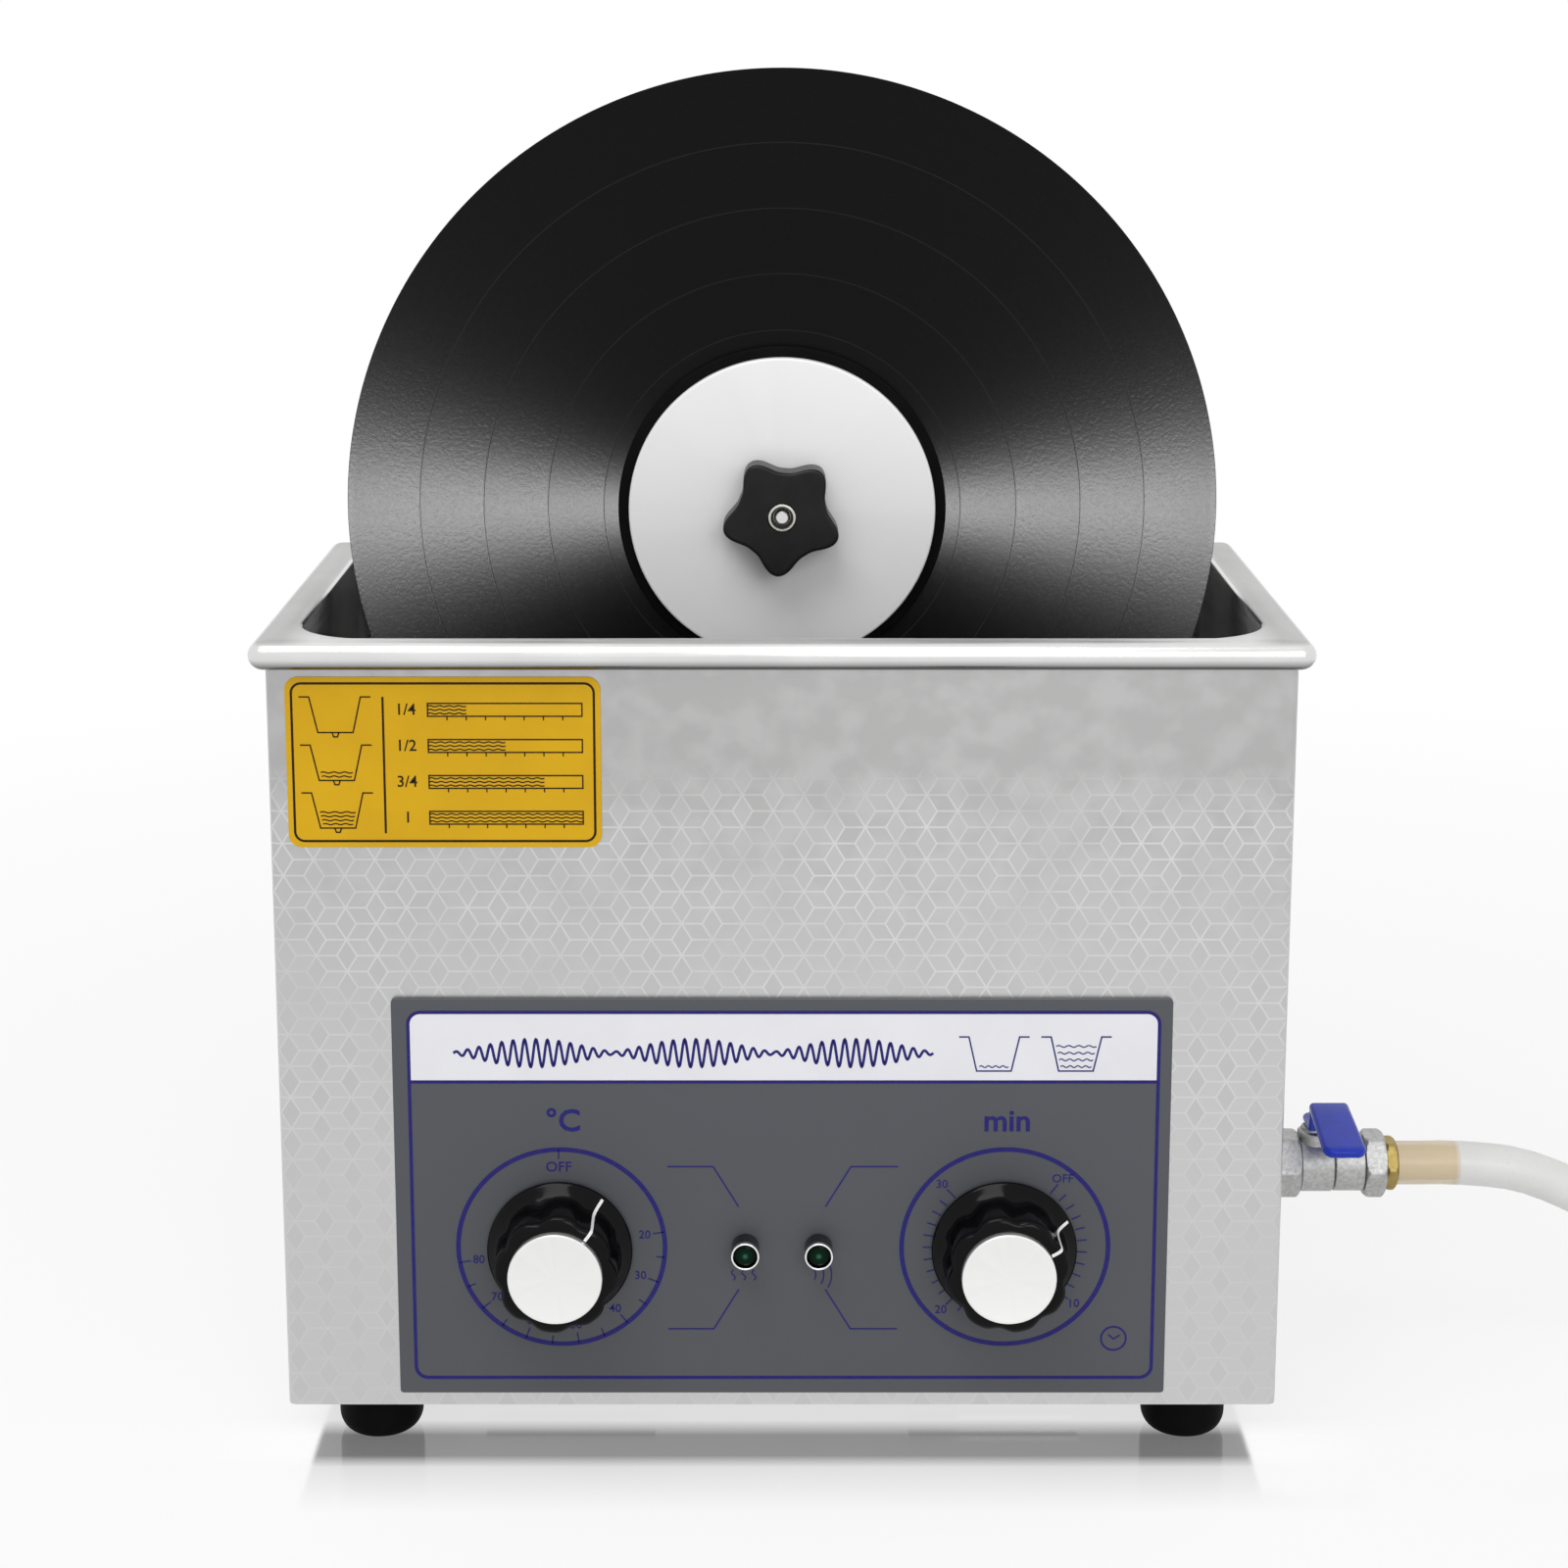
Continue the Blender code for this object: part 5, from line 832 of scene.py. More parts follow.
def tankRing(offset, height):
    # Across the rim's flat the corners tighten and the ends widen, so the roll runs parallel outside.
    across = (offset - tank["edge"]) / (tank["rimWidth"] - tank["roll"] - tank["edge"])
    across = min(max(across, 0), 1)
    inner = tank["corner"] + offset
    outer = tank["rimCorner"] - tank["rimWidth"] + offset
    halfLength = tank["length"] / 2 + offset + across * tank["endExtra"]
    outline = roundedRectangle(halfLength, tank["width"] / 2 + offset, inner + across * (outer - inner), 24)
    return [(x, y, height) for x, y in outline]


def makeTank():
    sheet, roll, edge, crown = tank["sheet"], tank["roll"], tank["edge"], tank["crown"]
    top = tank["rimTop"]
    floor = top - tank["depth"]
    centre = (-tank["floorRadius"], floor + tank["floorRadius"])
    near = (edge, top - edge - crown)
    far = (tank["rimWidth"] - roll, top - roll - crown)
    flat = []
    for share in (0.75, 0.5, 0.25):
        rise = crown * (1 - (2 * share - 1) ** 2)
        flat.append((near[0] + (far[0] - near[0]) * share, top - crown + rise))
    stations = (
        arc(centre, tank["floorRadius"] + sheet, 270, 360)
        + arc(near, edge - sheet, 180, 90, 4)
        + [((near[0] + far[0]) / 2, top - sheet)]
        + arc(far, roll - sheet, 90, -90, 12)
        + [(far[0] - 0.0003, far[1] - roll + sheet / 2)]
        + arc(far, roll, -90, 90, 24)
        + flat
        + arc(near, edge, 90, 180, 8)
        + [(0.0, floor + 0.09), (0.0, floor + 0.04)]
        + arc(centre, tank["floorRadius"], 360, 270, 10)
        + [(-0.04, floor)]
    )
    mesh = loftMesh("rolledTank", [tankRing(*station) for station in stations], angle=50)
    piece("rolledTank", mesh, paint["tankSteel"], "cleaner", hides=("tank",))


# Rubber feet

foot = {
    "x": 0.137, "y": 0.059,
    "profile": (
        (0, 0.0207), (0.0135, 0.0207), (0.0140, 0.0205), (0.0142, 0.0200), (0.0142, 0.0065),
        (0.01406, 0.0050), (0.0138, 0.0040), (0.0134, 0.0030), (0.01295, 0.0022), (0.0124, 0.0015),
        (0.01186, 0.0010), (0.0113, 0.0006), (0.01057, 0.00025), (0.0098, 0.00005), (0.0092, 0.0),
        (0.0075, 0.0), (0.0070, 0.0006), (0, 0.0006),
    ),
}


def makeFeet():
    for row, sideY in (("front", -1), ("rear", 1)):
        for end, sideX in (("left", -1), ("right", 1)):
            name = f"foot_{row}_{end}"
            mesh = latheMesh(name + "_round", foot["profile"], 64)
            piece(
                name + "_round", mesh, paint["rubber"], "cleaner",
                at(sideX * foot["x"], sideY * foot["y"], 0), hides=(name,),
            )


makeTank()
makeFeet()
dress("housing_shell", paint["housingSteel"])
dress("bottom_plate", paint["tankSteel"])
print("tank, housing and feet made")


# Flat printing: strokes, fills and figures, built as one thin layer for each ink

def addStroke(work, points, width, low, high, closed=False):
    # A ribbon of even width with mitred corners, raised from low to high
    count = len(points)
    sides = []
    for here, point in enumerate(points):
        point = Vector(point)
        before = Vector(points[here - 1]) if here or closed else None
        after = Vector(points[(here + 1) % count]) if here < count - 1 or closed else None
        first = (point - before).normalized() if before is not None else None
        second = (after - point).normalized() if after is not None else None
        first = second if first is None else first
        second = first if second is None else second
        normal = Vector((-first.y - second.y, first.x + second.x)).normalized()
        reach = width / 2 / max(normal.dot(Vector((-first.y, first.x))), 0.4)
        left, right = point + normal * reach, point - normal * reach
        sides.append([work.verts.new((*corner, level)) for level in (low, high) for corner in (left, right)])
    pairs = list(zip(sides, sides[1:])) + ([(sides[-1], sides[0])] if closed else [])
    for a, b in pairs:
        for i, j in ((0, 1), (1, 3), (3, 2), (2, 0)):
            work.faces.new((a[i], a[j], b[j], b[i]))
    if not closed:
        for end in (sides[0], sides[-1]):
            work.faces.new((end[0], end[1], end[3], end[2]))


def addFill(work, outline, low, high):
    bottom = [work.verts.new((x, y, low)) for x, y in outline]
    top = [work.verts.new((x, y, high)) for x, y in outline]
    work.faces.new(bottom)
    work.faces.new(top)
    for here in range(len(outline)):
        following = (here + 1) % len(outline)
        work.faces.new((bottom[here], bottom[following], top[following], top[here]))


def addFigures(work, text, x, y, size, low, high, bold=0.0):
    # Figures and units in Blender's own typeface, centred on their place
    curve = bpy.data.curves.new("figures", "FONT")
    curve.body = text
    curve.size = size
    curve.align_x = "CENTER"
    curve.align_y = "CENTER"
    curve.offset = bold
    curve.extrude = (high - low) / 2
    curve.resolution_u = 3
    holder = bpy.data.objects.new("figures", curve)
    bpy.context.scene.collection.objects.link(holder)
    bpy.context.view_layer.update()
    mesh = bpy.data.meshes.new_from_object(holder.evaluated_get(bpy.context.evaluated_depsgraph_get()))
    mesh.transform(Matrix.Translation((x, y, (low + high) / 2)))
    work.from_mesh(mesh)
    bpy.data.objects.remove(holder)
    bpy.data.curves.remove(curve)
    bpy.data.meshes.remove(mesh)


def ringPoints(x, y, radius, steps=120):
    return [(x + px, y + py) for px, py, level in circle(radius, 0, steps)]


def fromTop(x, y, radius, degrees):
    # A place on a dial, clockwise from the top
    turn = math.radians(degrees)
    return (x + radius * math.sin(turn), y + radius * math.cos(turn))


def wave(x0, x1, y, height, waves, steps=12):
    count = int(waves * steps)
    return [
        (x0 + (x1 - x0) * n / count, y + height * math.sin(2 * math.pi * waves * n / count))
        for n in range(count + 1)
    ]


def tankSign(x, y, scale):
    # The outline of a tank seen from the side: lips, sloping walls and floor
    shape = ((-11.4, 0.0), (-8.2, 0.0), (-5.6, -11.6), (5.6, -11.6), (8.2, 0.0), (11.4, 0.0))
    return [(x + scale * px, y + scale * py) for px, py in shape]


panel = {
    "front": 0.0898, "low": 0.00002, "high": 0.00010, "dialX": 0.0728, "dialZ": 0.0768,
    "printed": {-1: (-0.0723, 0.0773), 1: (0.0731, 0.0773)},
    "frame": (-0.1210, 0.1221, 0.0315, 0.1580), "frameCorner": 0.004, "frameLine": 0.0011,
    "bandLow": 0.1344, "ring": 0.0339, "ringLine": 0.0015, "tick": 0.0004,
    "leader": 0.00045, "title": (-0.1065, 0.0490, 0.1442, 0.0047),
    "lampX": 0.0120, "signZ": 0.0676, "clock": (0.1094, 0.0453, 0.0041),
}


def temperatureScale(work, low, high):
    x, z = panel["printed"][-1]
    top = x - 0.0006
    addStroke(work, [fromTop(top, z, panel["ring"], 0), fromTop(top, z, 0.0307, 0)], panel["tick"], low, high)
    for step in range(13):
        angle = 81 + 15 * step
        inner = 0.0303 if step % 2 == 0 else 0.0311
        ends = [fromTop(x, z, panel["ring"], angle), fromTop(x, z, inner, angle)]
        addStroke(work, ends, panel["tick"], low, high)
        if step % 2 == 0:
            figureX, figureZ = fromTop(x, z, 0.0276, angle)
            addFigures(work, str(20 + 5 * step), figureX, figureZ, 0.0040, low, high, 0.00002)
    figureX, figureZ = fromTop(top, z, 0.0278, 0)
    addFigures(work, "OFF", figureX, figureZ, 0.0049, low, high, 0.00002)


def timeScale(work, low, high):
    x, z = panel["printed"][1]
    for minute in range(31):
        angle = 38 + 9.28 * minute
        outer = 0.0278 if minute % 10 == 0 else 0.0270
        ends = [fromTop(x, z, 0.0238, angle), fromTop(x, z, outer, angle)]
        addStroke(work, ends, panel["tick"], low, high)
        if minute % 10 == 0:
            figureX, figureZ = fromTop(x, z, 0.0302, angle)
            addFigures(work, str(minute) if minute else "OFF", figureX, figureZ, 0.0040, low, high, 0.00002)


def panelSigns(work, low, high):
    # A burst of ultrasound for a title, two tanks with little and enough water, and signs for the lamps
    x0, x1, z, height = panel["title"]
    count = 900
    burst = []
    for n in range(count + 1):
        share = n / count
        swell = 0.10 + 0.90 * abs(math.sin(3 * math.pi * share)) ** 1.3
        burst.append((x0 + (x1 - x0) * share, z + height * swell * math.sin(2 * math.pi * 42 * share)))
    addStroke(work, burst, 0.0009, low, high)
    for x in (0.0687, 0.0953):
        addStroke(work, tankSign(x, 0.1497, 0.001), 0.0005, low, high)
    for level in (0.1396,):
        addStroke(work, wave(0.0640, 0.0734, level, 0.0003, 4), 0.0004, low, high)
    for row, level in enumerate((0.1396, 0.1419, 0.1442, 0.1465)):
        half = 0.0050 + 0.0005 * row
        addStroke(work, wave(0.0953 - half, 0.0953 + half, level, 0.0003, 4), 0.0004, low, high)
    for side in (-1, 1):
        # Rising warmth on the left, spreading sound on the right
        x = side * panel["lampX"] + 0.0006 * side
        for step in (-1, 0, 1):
            if side < 0:
                warm = [(x + step * 0.0034 + px, py) for py, px in wave(0.0658, 0.0694, 0.0, 0.0006, 1)]
                addStroke(work, warm, 0.0004, low, high)
            else:
                bow = arc((x - 0.0045, panel["signZ"]), 0.0030 + 0.0026 * (step + 1), -32, 32, 10)
                addStroke(work, bow, 0.0004, low, high)


def makePanelPrint():
    low, high = panel["low"], panel["high"]
    left, right, bottom, top = panel["frame"]
    middle = ((left + right) / 2, (bottom + top) / 2)
    shape = roundedRectangle((right - left) / 2, (top - bottom) / 2, panel["frameCorner"], 10)
    outline = [(middle[0] + x, middle[1] + z) for x, z in shape]
    place = at(0, -panel["front"], 0)
    band = [point for point in outline if point[1] > panel["bandLow"]]
    band += [(left, panel["bandLow"]), (right, panel["bandLow"])]
    work = bmesh.new()
    addFill(work, band, low / 2, low + 0.00003)
    mesh = meshFrom("titleBand", work)
    piece("titleBand", mesh, paint["inkWhite"], "cleaner", place, facingFront)

    work = bmesh.new()
    addStroke(work, outline, panel["frameLine"], low, high, closed=True)
    line = [(left, panel["bandLow"]), (right, panel["bandLow"])]
    addStroke(work, line, panel["frameLine"], low, high - 0.00001)
    for side in (-1, 1):
        addStroke(work, ringPoints(*panel["printed"][side], panel["ring"]), panel["ringLine"], low, high, True)
        for up in (-1, 1):
            outer = 0.0379 if side > 0 else 0.0375
            knee = (side * 0.0225, 0.0770 + up * 0.0283)
            leader = [(side * outer, knee[1]), knee, (side * 0.0142, 0.0770 + up * 0.0144)]
            addStroke(work, leader, panel["leader"], low, high)
    temperatureScale(work, low, high)
    timeScale(work, low, high)
    panelSigns(work, low + 0.00003, high)
    addFigures(work, "°C", -0.0713, 0.1208, 0.0105, low, high, 0.0002)
    addFigures(work, "min", 0.0733, 0.1208, 0.0105, low, high, 0.0002)
    x, z, radius = panel["clock"]
    addStroke(work, ringPoints(x, z, radius, 48), 0.0006, low, high, closed=True)
    hands = [(x - 0.0017, z + 0.0014), (x, z - 0.0002), (x + 0.0021, z + 0.0012)]
    addStroke(work, hands, 0.0005, low, high)
    mesh = meshFrom("panelInk", work)
    piece("panelInk", mesh, paint["inkBlue"], "cleaner", place, facingFront)


# Yellow plate: tank signs and a chart of fill levels

plate = {
    "box": (-0.1578, -0.0576, 0.2128, 0.2687), "front": 0.0880, "corner": 0.0042, "thick": 0.00025,
    "inset": 0.0021, "line": 0.00075, "divider": -0.1267, "signX": -0.1419,
    "signs": ((0.2622, 1), (0.2465, 2), (0.2308, 4)), "rows": (0.2580, 0.2462, 0.2344, 0.2226),
}


def makePlate():
    left, right, bottom, top = plate["box"]
    middle = ((left + right) / 2, (bottom + top) / 2)
    half = ((right - left) / 2, (top - bottom) / 2)
    place = at(0, -plate["front"] - 0.00003, 0)
    outline = [(middle[0] + x, middle[1] + z) for x, z in roundedRectangle(*half, plate["corner"], 12)]
    work = bmesh.new()
    addFill(work, outline, 0.0, plate["thick"])
    mesh = meshFrom("yellowPlate", work)
    made = piece("yellowPlate", mesh, paint["yellowFilm"], "cleaner", place, facingFront)
    soften(made, 0.00008, 2)

    low, high = plate["thick"] + 0.00001, plate["thick"] + 0.00007
    inset = plate["inset"]
    shape = roundedRectangle(half[0] - inset, half[1] - inset, plate["corner"] - inset / 2, 12)
    work = bmesh.new()
    border = [(middle[0] + x, middle[1] + z) for x, z in shape]
    addStroke(work, border, plate["line"], low, high, closed=True)
    divider = [(plate["divider"], 0.2175), (plate["divider"], 0.2622)]
    addStroke(work, divider, 0.0007, low, high)
    for z, waves in plate["signs"]:
        x = plate["signX"]
        addStroke(work, tankSign(x, z, 0.00100), 0.00045, low, high)
        drain = [(x + side * width, z - drop) for side, width, drop in (
            (-1, 0.0011, 0.0116), (-1, 0.0006, 0.0130), (1, 0.0006, 0.0130), (1, 0.0011, 0.0116),
        )]
        addStroke(work, drain, 0.00045, low, high)
        for row in range(waves if waves > 1 else 0):
            level = z - 0.0103 + 0.0013 * row
            reach = 0.0048 + 0.0003 * row
            addStroke(work, wave(x - reach, x + reach, level, 0.0002, 3), 0.0004, low, high)
    for share, z in enumerate(plate["rows"]):
        label = ("1/4", "1/2", "3/4", "1")[share]
        addFigures(work, label, -0.1195, z, 0.0052, low, high, 0.00004)
        gaugeLeft, gaugeRight = -0.1125, -0.0635
        gauge = [
            (gaugeLeft, z - 0.0021), (gaugeRight, z - 0.0021), (gaugeRight, z + 0.0021), (gaugeLeft, z + 0.0021),
        ]
        addStroke(work, gauge, 0.00045, low, high, closed=True)
        reach = gaugeLeft + (gaugeRight - gaugeLeft) * (share + 1) / 4
        for row in (-1, 0, 1):
            level = z + row * 0.0012
            addStroke(work, wave(gaugeLeft, reach, level, 0.00018, 4 * (share + 1)), 0.0004, low, high)
        for tick in range(1, 8):
            x = gaugeLeft + (gaugeRight - gaugeLeft) * tick / 8
            addStroke(work, [(x, z - 0.0021), (x, z - 0.0034)], 0.0004, low, high)
    mesh = meshFrom("plateInk", work)
    piece("plateInk", mesh, paint["inkDark"], "cleaner", place, facingFront)


dress("control_panel", paint["panelFilm"])
makePanelPrint()
makePlate()
print("panel and plate printed")


# Dials: skirted knobs with a fluted grip, a turned cap and a pointer line that follows their relief

dial = {
    "height": 0.025, "bore": 0.0033, "lobes": 8, "lobeDepth": 0.0015, "lobeTurn": math.radians(-13),
    "capRadius": 0.0152, "capThickness": 0.0040, "points": 240,
    # radius, height and depth of the flutes, from the skirt's back round to the cap's seat
    "outside": (
        (0.0085, 0.0008, 0), (0.0232, 0.0008, 0), (0.0237, 0.0011, 0), (0.0238, 0.0016, 0),
        (0.0238, 0.0020, 0), (0.0236, 0.0024, 0), (0.0231, 0.0028, 0), (0.0218, 0.0038, 0),
        (0.0205, 0.0049, 0.05), (0.0199, 0.0057, 0.3), (0.01965, 0.0068, 0.7), (0.0196, 0.0085, 1),
        (0.0197, 0.0135, 1), (0.0199, 0.0190, 1), (0.0199, 0.0207, 1), (0.0197, 0.0214, 1),
        (0.0192, 0.0219, 0.95), (0.0183, 0.02225, 0.7), (0.0172, 0.0224, 0.4), (0.0155, 0.0225, 0),
    ),
    "pointerFrom": 6, "pointerWidth": 0.00102, "pointerLift": 0.00012,
}


def fluted(radius, share, angle, turn):
    # Broad lobes with narrow valleys between them
    valley = (1 - math.cos(dial["lobes"] * (angle - turn))) / 2
    return radius - share * dial["lobeDepth"] * valley ** 2


def makeKnob(purpose, side, pointerDegrees):
    knob = purpose + "_knob"
    place = at(side * panel["dialX"], -panel["front"], panel["dialZ"])
    body = purpose + "_dial"
    pointer = math.pi / 2 - math.radians(pointerDegrees)
    turn = pointer + dial["lobeTurn"]
    seat = dial["height"] - dial["capThickness"]
    stations = [(dial["bore"], 0.0118, 0), (dial["bore"], 0.0035, 0), (0.0085, 0.0035, 0)]
    stations += list(dial["outside"]) + [(dial["capRadius"] + seatGap, seat, 0)]
    angles = [2 * math.pi * step / dial["points"] for step in range(dial["points"])]
    rings = [
        [
            (fluted(radius, share, a, turn) * math.cos(a), fluted(radius, share, a, turn) * math.sin(a), height)
            for a in angles
        ]
        for radius, height, share in stations
    ]
    mesh = loftMesh(knob + "_grip", rings, angle=40)
    piece(knob + "_grip", mesh, paint["glossBlack"], body, place, facingFront, hides=(knob,))

    top, radius = dial["height"], dial["capRadius"]
    rim = [(0, top - 0.0001), (radius - 0.0010, top - 0.0001), (radius - 0.0006, top), (radius - 0.0002, top - 0.0001)]
    rim += [(radius, top - 0.0004), (radius, seat + seatGap), (0, seat + seatGap)]
    mesh = latheMesh(knob + "_face", rim, 128)
    piece(
        knob + "_face", mesh, paint["capAluminium"], body, place, facingFront,
        hides=(knob + "_cap",),
    )

    # The line is a ribbon laid over skirt, flank and front edge along the pointer's direction.
    along = Vector((math.cos(pointer), math.sin(pointer), 0))
    across = Vector((-along.y, along.x, 0)) * dial["pointerWidth"] / 2
    track = [
        along * fluted(radius, share, pointer, turn) + Vector((0, 0, height))
        for radius, height, share in dial["outside"][dial["pointerFrom"]:]
    ]
    rings = []
    for here, point in enumerate(track):
        run = (track[min(here + 1, len(track) - 1)] - track[max(here - 1, 0)]).normalized()
        lift = run.cross(across).normalized() * dial["pointerLift"]
        lift = -lift if lift.z + lift.dot(along) < 0 else lift
        low, high = point - 2 * lift, point + lift
        rings.append([low - across, low + across, high + across, high - across])
    mesh = loftMesh(knob + "_pointer", rings, angle=60)
    piece(knob + "_pointer", mesh, paint["pointerWhite"], body, place, facingFront)


# Signal lamps

lamp = {"radius": 0.00462, "height": 0.0085, "lens": 0.0037, "dome": 0.0012, "neck": 0.0037}


def makeLamp(name, side):
    place = at(side * panel["lampX"], -panel["front"], 0.0775)
    height, mouth = lamp["height"], lamp["lens"] + seatGap
    bezel = filleted([
        (0, 0.0040), (mouth, 0.0040), (mouth, height, 0.0003), (lamp["radius"], height, 0.0007),
        (lamp["radius"], 0.0003), (lamp["neck"], 0.0003), (lamp["neck"], -0.012), (0, -0.012),
    ])
    mesh = latheMesh(name + "_bezel", bezel, 64)
    hides = (name + "_lamp_bezel",)
    piece(name + "_bezel", mesh, paint["bezelChrome"], "cleaner", place, facingFront, hides=hides)
    shoulder = height - lamp["dome"] - 0.0004
    dome = [
        (lamp["lens"] * math.sin(a), shoulder + lamp["dome"] * math.cos(a))
        for a in (math.pi / 2 * step / 10 for step in range(11))
    ]
    mesh = latheMesh(name + "_lens", dome + [(lamp["lens"], 0.0043), (0, 0.0043)], 64, 60)
    hides = (name + "_lamp_lens",)
    piece(name + "_lens", mesh, paint["lensGreen"], "cleaner", place, facingFront, hides=hides)


makeKnob("temperature", -1, 38)
makeKnob("time", 1, 62.7)
makeLamp("heating", -1)
makeLamp("cleaning", 1)
for shaft in ("thermostat_shaft", "timer_shaft"):
    dress(shaft, paint["pinSteel"])
for control in ("thermostat_body", "timer_body"):
    dress(control, paint["castSteel"])
print("dials and lamps made")


# Ball valve, brass barb and lever, along +X from the right wall

valve = {
    "wall": 0.1640, "height": 0.0709, "ball": 0.0285, "way": 0.0046, "cavity": 0.0075, "hexEnd": 0.0203,
    "radius": 0.0100, "seam": 0.0325, "endRadius": 0.0098, "outHex": 0.0433, "outEnd": 0.0506,
    "flats": 0.0214, "chamfer": 0.0009, "bonnetShift": 0.0025, "bonnetTop": 0.0140,
    "barbNut": 0.0041, "barb": 0.0226, "ridges": 4,
}


def hexRing(flats, height, limit=math.inf, count=96):
    ring = []
    for step in range(count):
        angle = 2 * math.pi * step / count
        fromFlat = (angle + math.pi / 6) % (math.pi / 3) - math.pi / 6
        radius = min(flats / 2 / math.cos(fromFlat), limit)
        ring.append((radius * math.cos(angle), radius * math.sin(angle), height))
    return ring


def hexRings(flats, start, end):
    corner = flats / 2 / math.cos(math.pi / 6)
    edge = valve["chamfer"]
    return [
        hexRing(flats, start, corner - 1.6 * edge), hexRing(flats, start + 0.35 * edge, corner - edge),
        hexRing(flats, start + edge, corner - 0.35 * edge), hexRing(flats, start + 1.5 * edge, corner - 0.15 * edge),
        hexRing(flats, end - 1.5 * edge, corner - 0.15 * edge), hexRing(flats, end - edge, corner - 0.35 * edge),
        hexRing(flats, end - 0.35 * edge, corner - edge), hexRing(flats, end, corner - 1.6 * edge),
    ]


def barrel(radius, start, end, edge=0.0004):
    return [circle(radius - edge, start, 96), circle(radius, start + edge, 96),
            circle(radius, end - edge, 96), circle(radius - edge, end, 96)]


def makeValve():
    place = at(valve["wall"], 0, valve["height"])
    way, cavity, seam, end = valve["way"], valve["cavity"], valve["seam"], valve["outEnd"]
    rings = hexRings(0.0205, seatGap, 0.0048)
    rings += [circle(0.0086, 0.0050, 96), circle(0.0086, 0.0091, 96)]
    rings += hexRings(valve["flats"], 0.0093, valve["hexEnd"])
    rings += barrel(valve["radius"], valve["hexEnd"] + 0.0002, seam - seatGap)
    rings += [circle(cavity, seam - seatGap, 96), circle(cavity, valve["ball"] - cavity, 96)]
    rings += [circle(way, valve["ball"] - cavity - 0.0002, 96), circle(way, 0.0128, 96)]
    rings += [circle(0.0073, 0.0126, 96), circle(0.0073, seatGap, 96)]
    mesh = loftMesh("valveBody", rings, looped=True)
    piece("valveBody", mesh, paint["castSteel"], "cleaner", place, facingRight, hides=("valve_body",))

    # The bonnet stands up from the body round the stem. Its top is flat, and a collar holds the seal.
    top = valve["bonnetTop"]
    bonnet = filleted([
        (0, 0.0076), (0.0060, 0.0076), (0.0060, top - 0.0016, 0.0008), (0.0047, top - 0.0012, 0.0003),
        (0.0047, top, 0.0003), (0, top),
    ])
    mesh = latheMesh("valveBonnet", bonnet, 64)
    shifted = place + Vector((valve["ball"] - valve["bonnetShift"], 0, 0))
    piece("valveBonnet", mesh, paint["castSteel"], "cleaner", shifted)

    rings = barrel(valve["endRadius"], seam, valve["outHex"])
    rings += hexRings(valve["flats"], valve["outHex"] + 0.0001, end)
    rings += [circle(0.0067, end, 96), circle(0.0067, end - 0.0080, 96)]
    rings += [circle(way, end - 0.0082, 96), circle(way, valve["ball"] + cavity + 0.0002, 96)]
    rings += [circle(cavity, valve["ball"] + cavity, 96), circle(cavity, seam, 96)]
    mesh = loftMesh("valveEnd", rings, looped=True)
    piece("valveEnd", mesh, paint["castSteel"], "cleaner", place, facingRight, hides=("valve_end",))

    # Brass barb: spigot, nut and the ridges under the hose
    nut = end + seatGap
    rings = [circle(way, end - 0.0077, 96), circle(0.0064, end - 0.0077, 96), circle(0.0064, nut - 0.0001, 96)]
    rings += hexRings(0.0170, nut, nut + valve["barbNut"])
    length = valve["barb"] / valve["ridges"]
    for ridge in range(valve["ridges"]):
        base = nut + valve["barbNut"] + 0.0002 + ridge * length
        rings += [circle(0.0059, base, 96), circle(0.0060, base + 0.0008, 96), circle(0.0054, base + length, 96)]
    rings += [circle(way, nut + valve["barbNut"] + 0.0003 + valve["barb"], 96)]
    mesh = loftMesh("brassBarb", rings, looped=True)
    piece("brassBarb", mesh, paint["brass"], "cleaner", place, facingRight, hides=("hose_barb",))


lever = {
    "root": 0.0022, "grip": 0.0034, "low": 0.0154, "high": 0.0257, "tip": 0.0213, "tail": 0.0068,
    "length": 0.0470, "rootWidth": 0.0120, "bendWidth": 0.0138, "width": 0.0149, "round": 0.0042,
    "bend": (0.0072, 0.0116), "nut": (0.0168, 0.0205),
}


def leverRing(forward, middle, tilt, width, thickness):
    outline = roundedRectangle(width / 2, thickness / 2, 0.46 * thickness, 6)
    turn = Matrix.Rotation(tilt, 3, "X")
    return [Vector((0, -forward, middle)) + turn @ Vector((x, 0, z)) for x, z in outline]


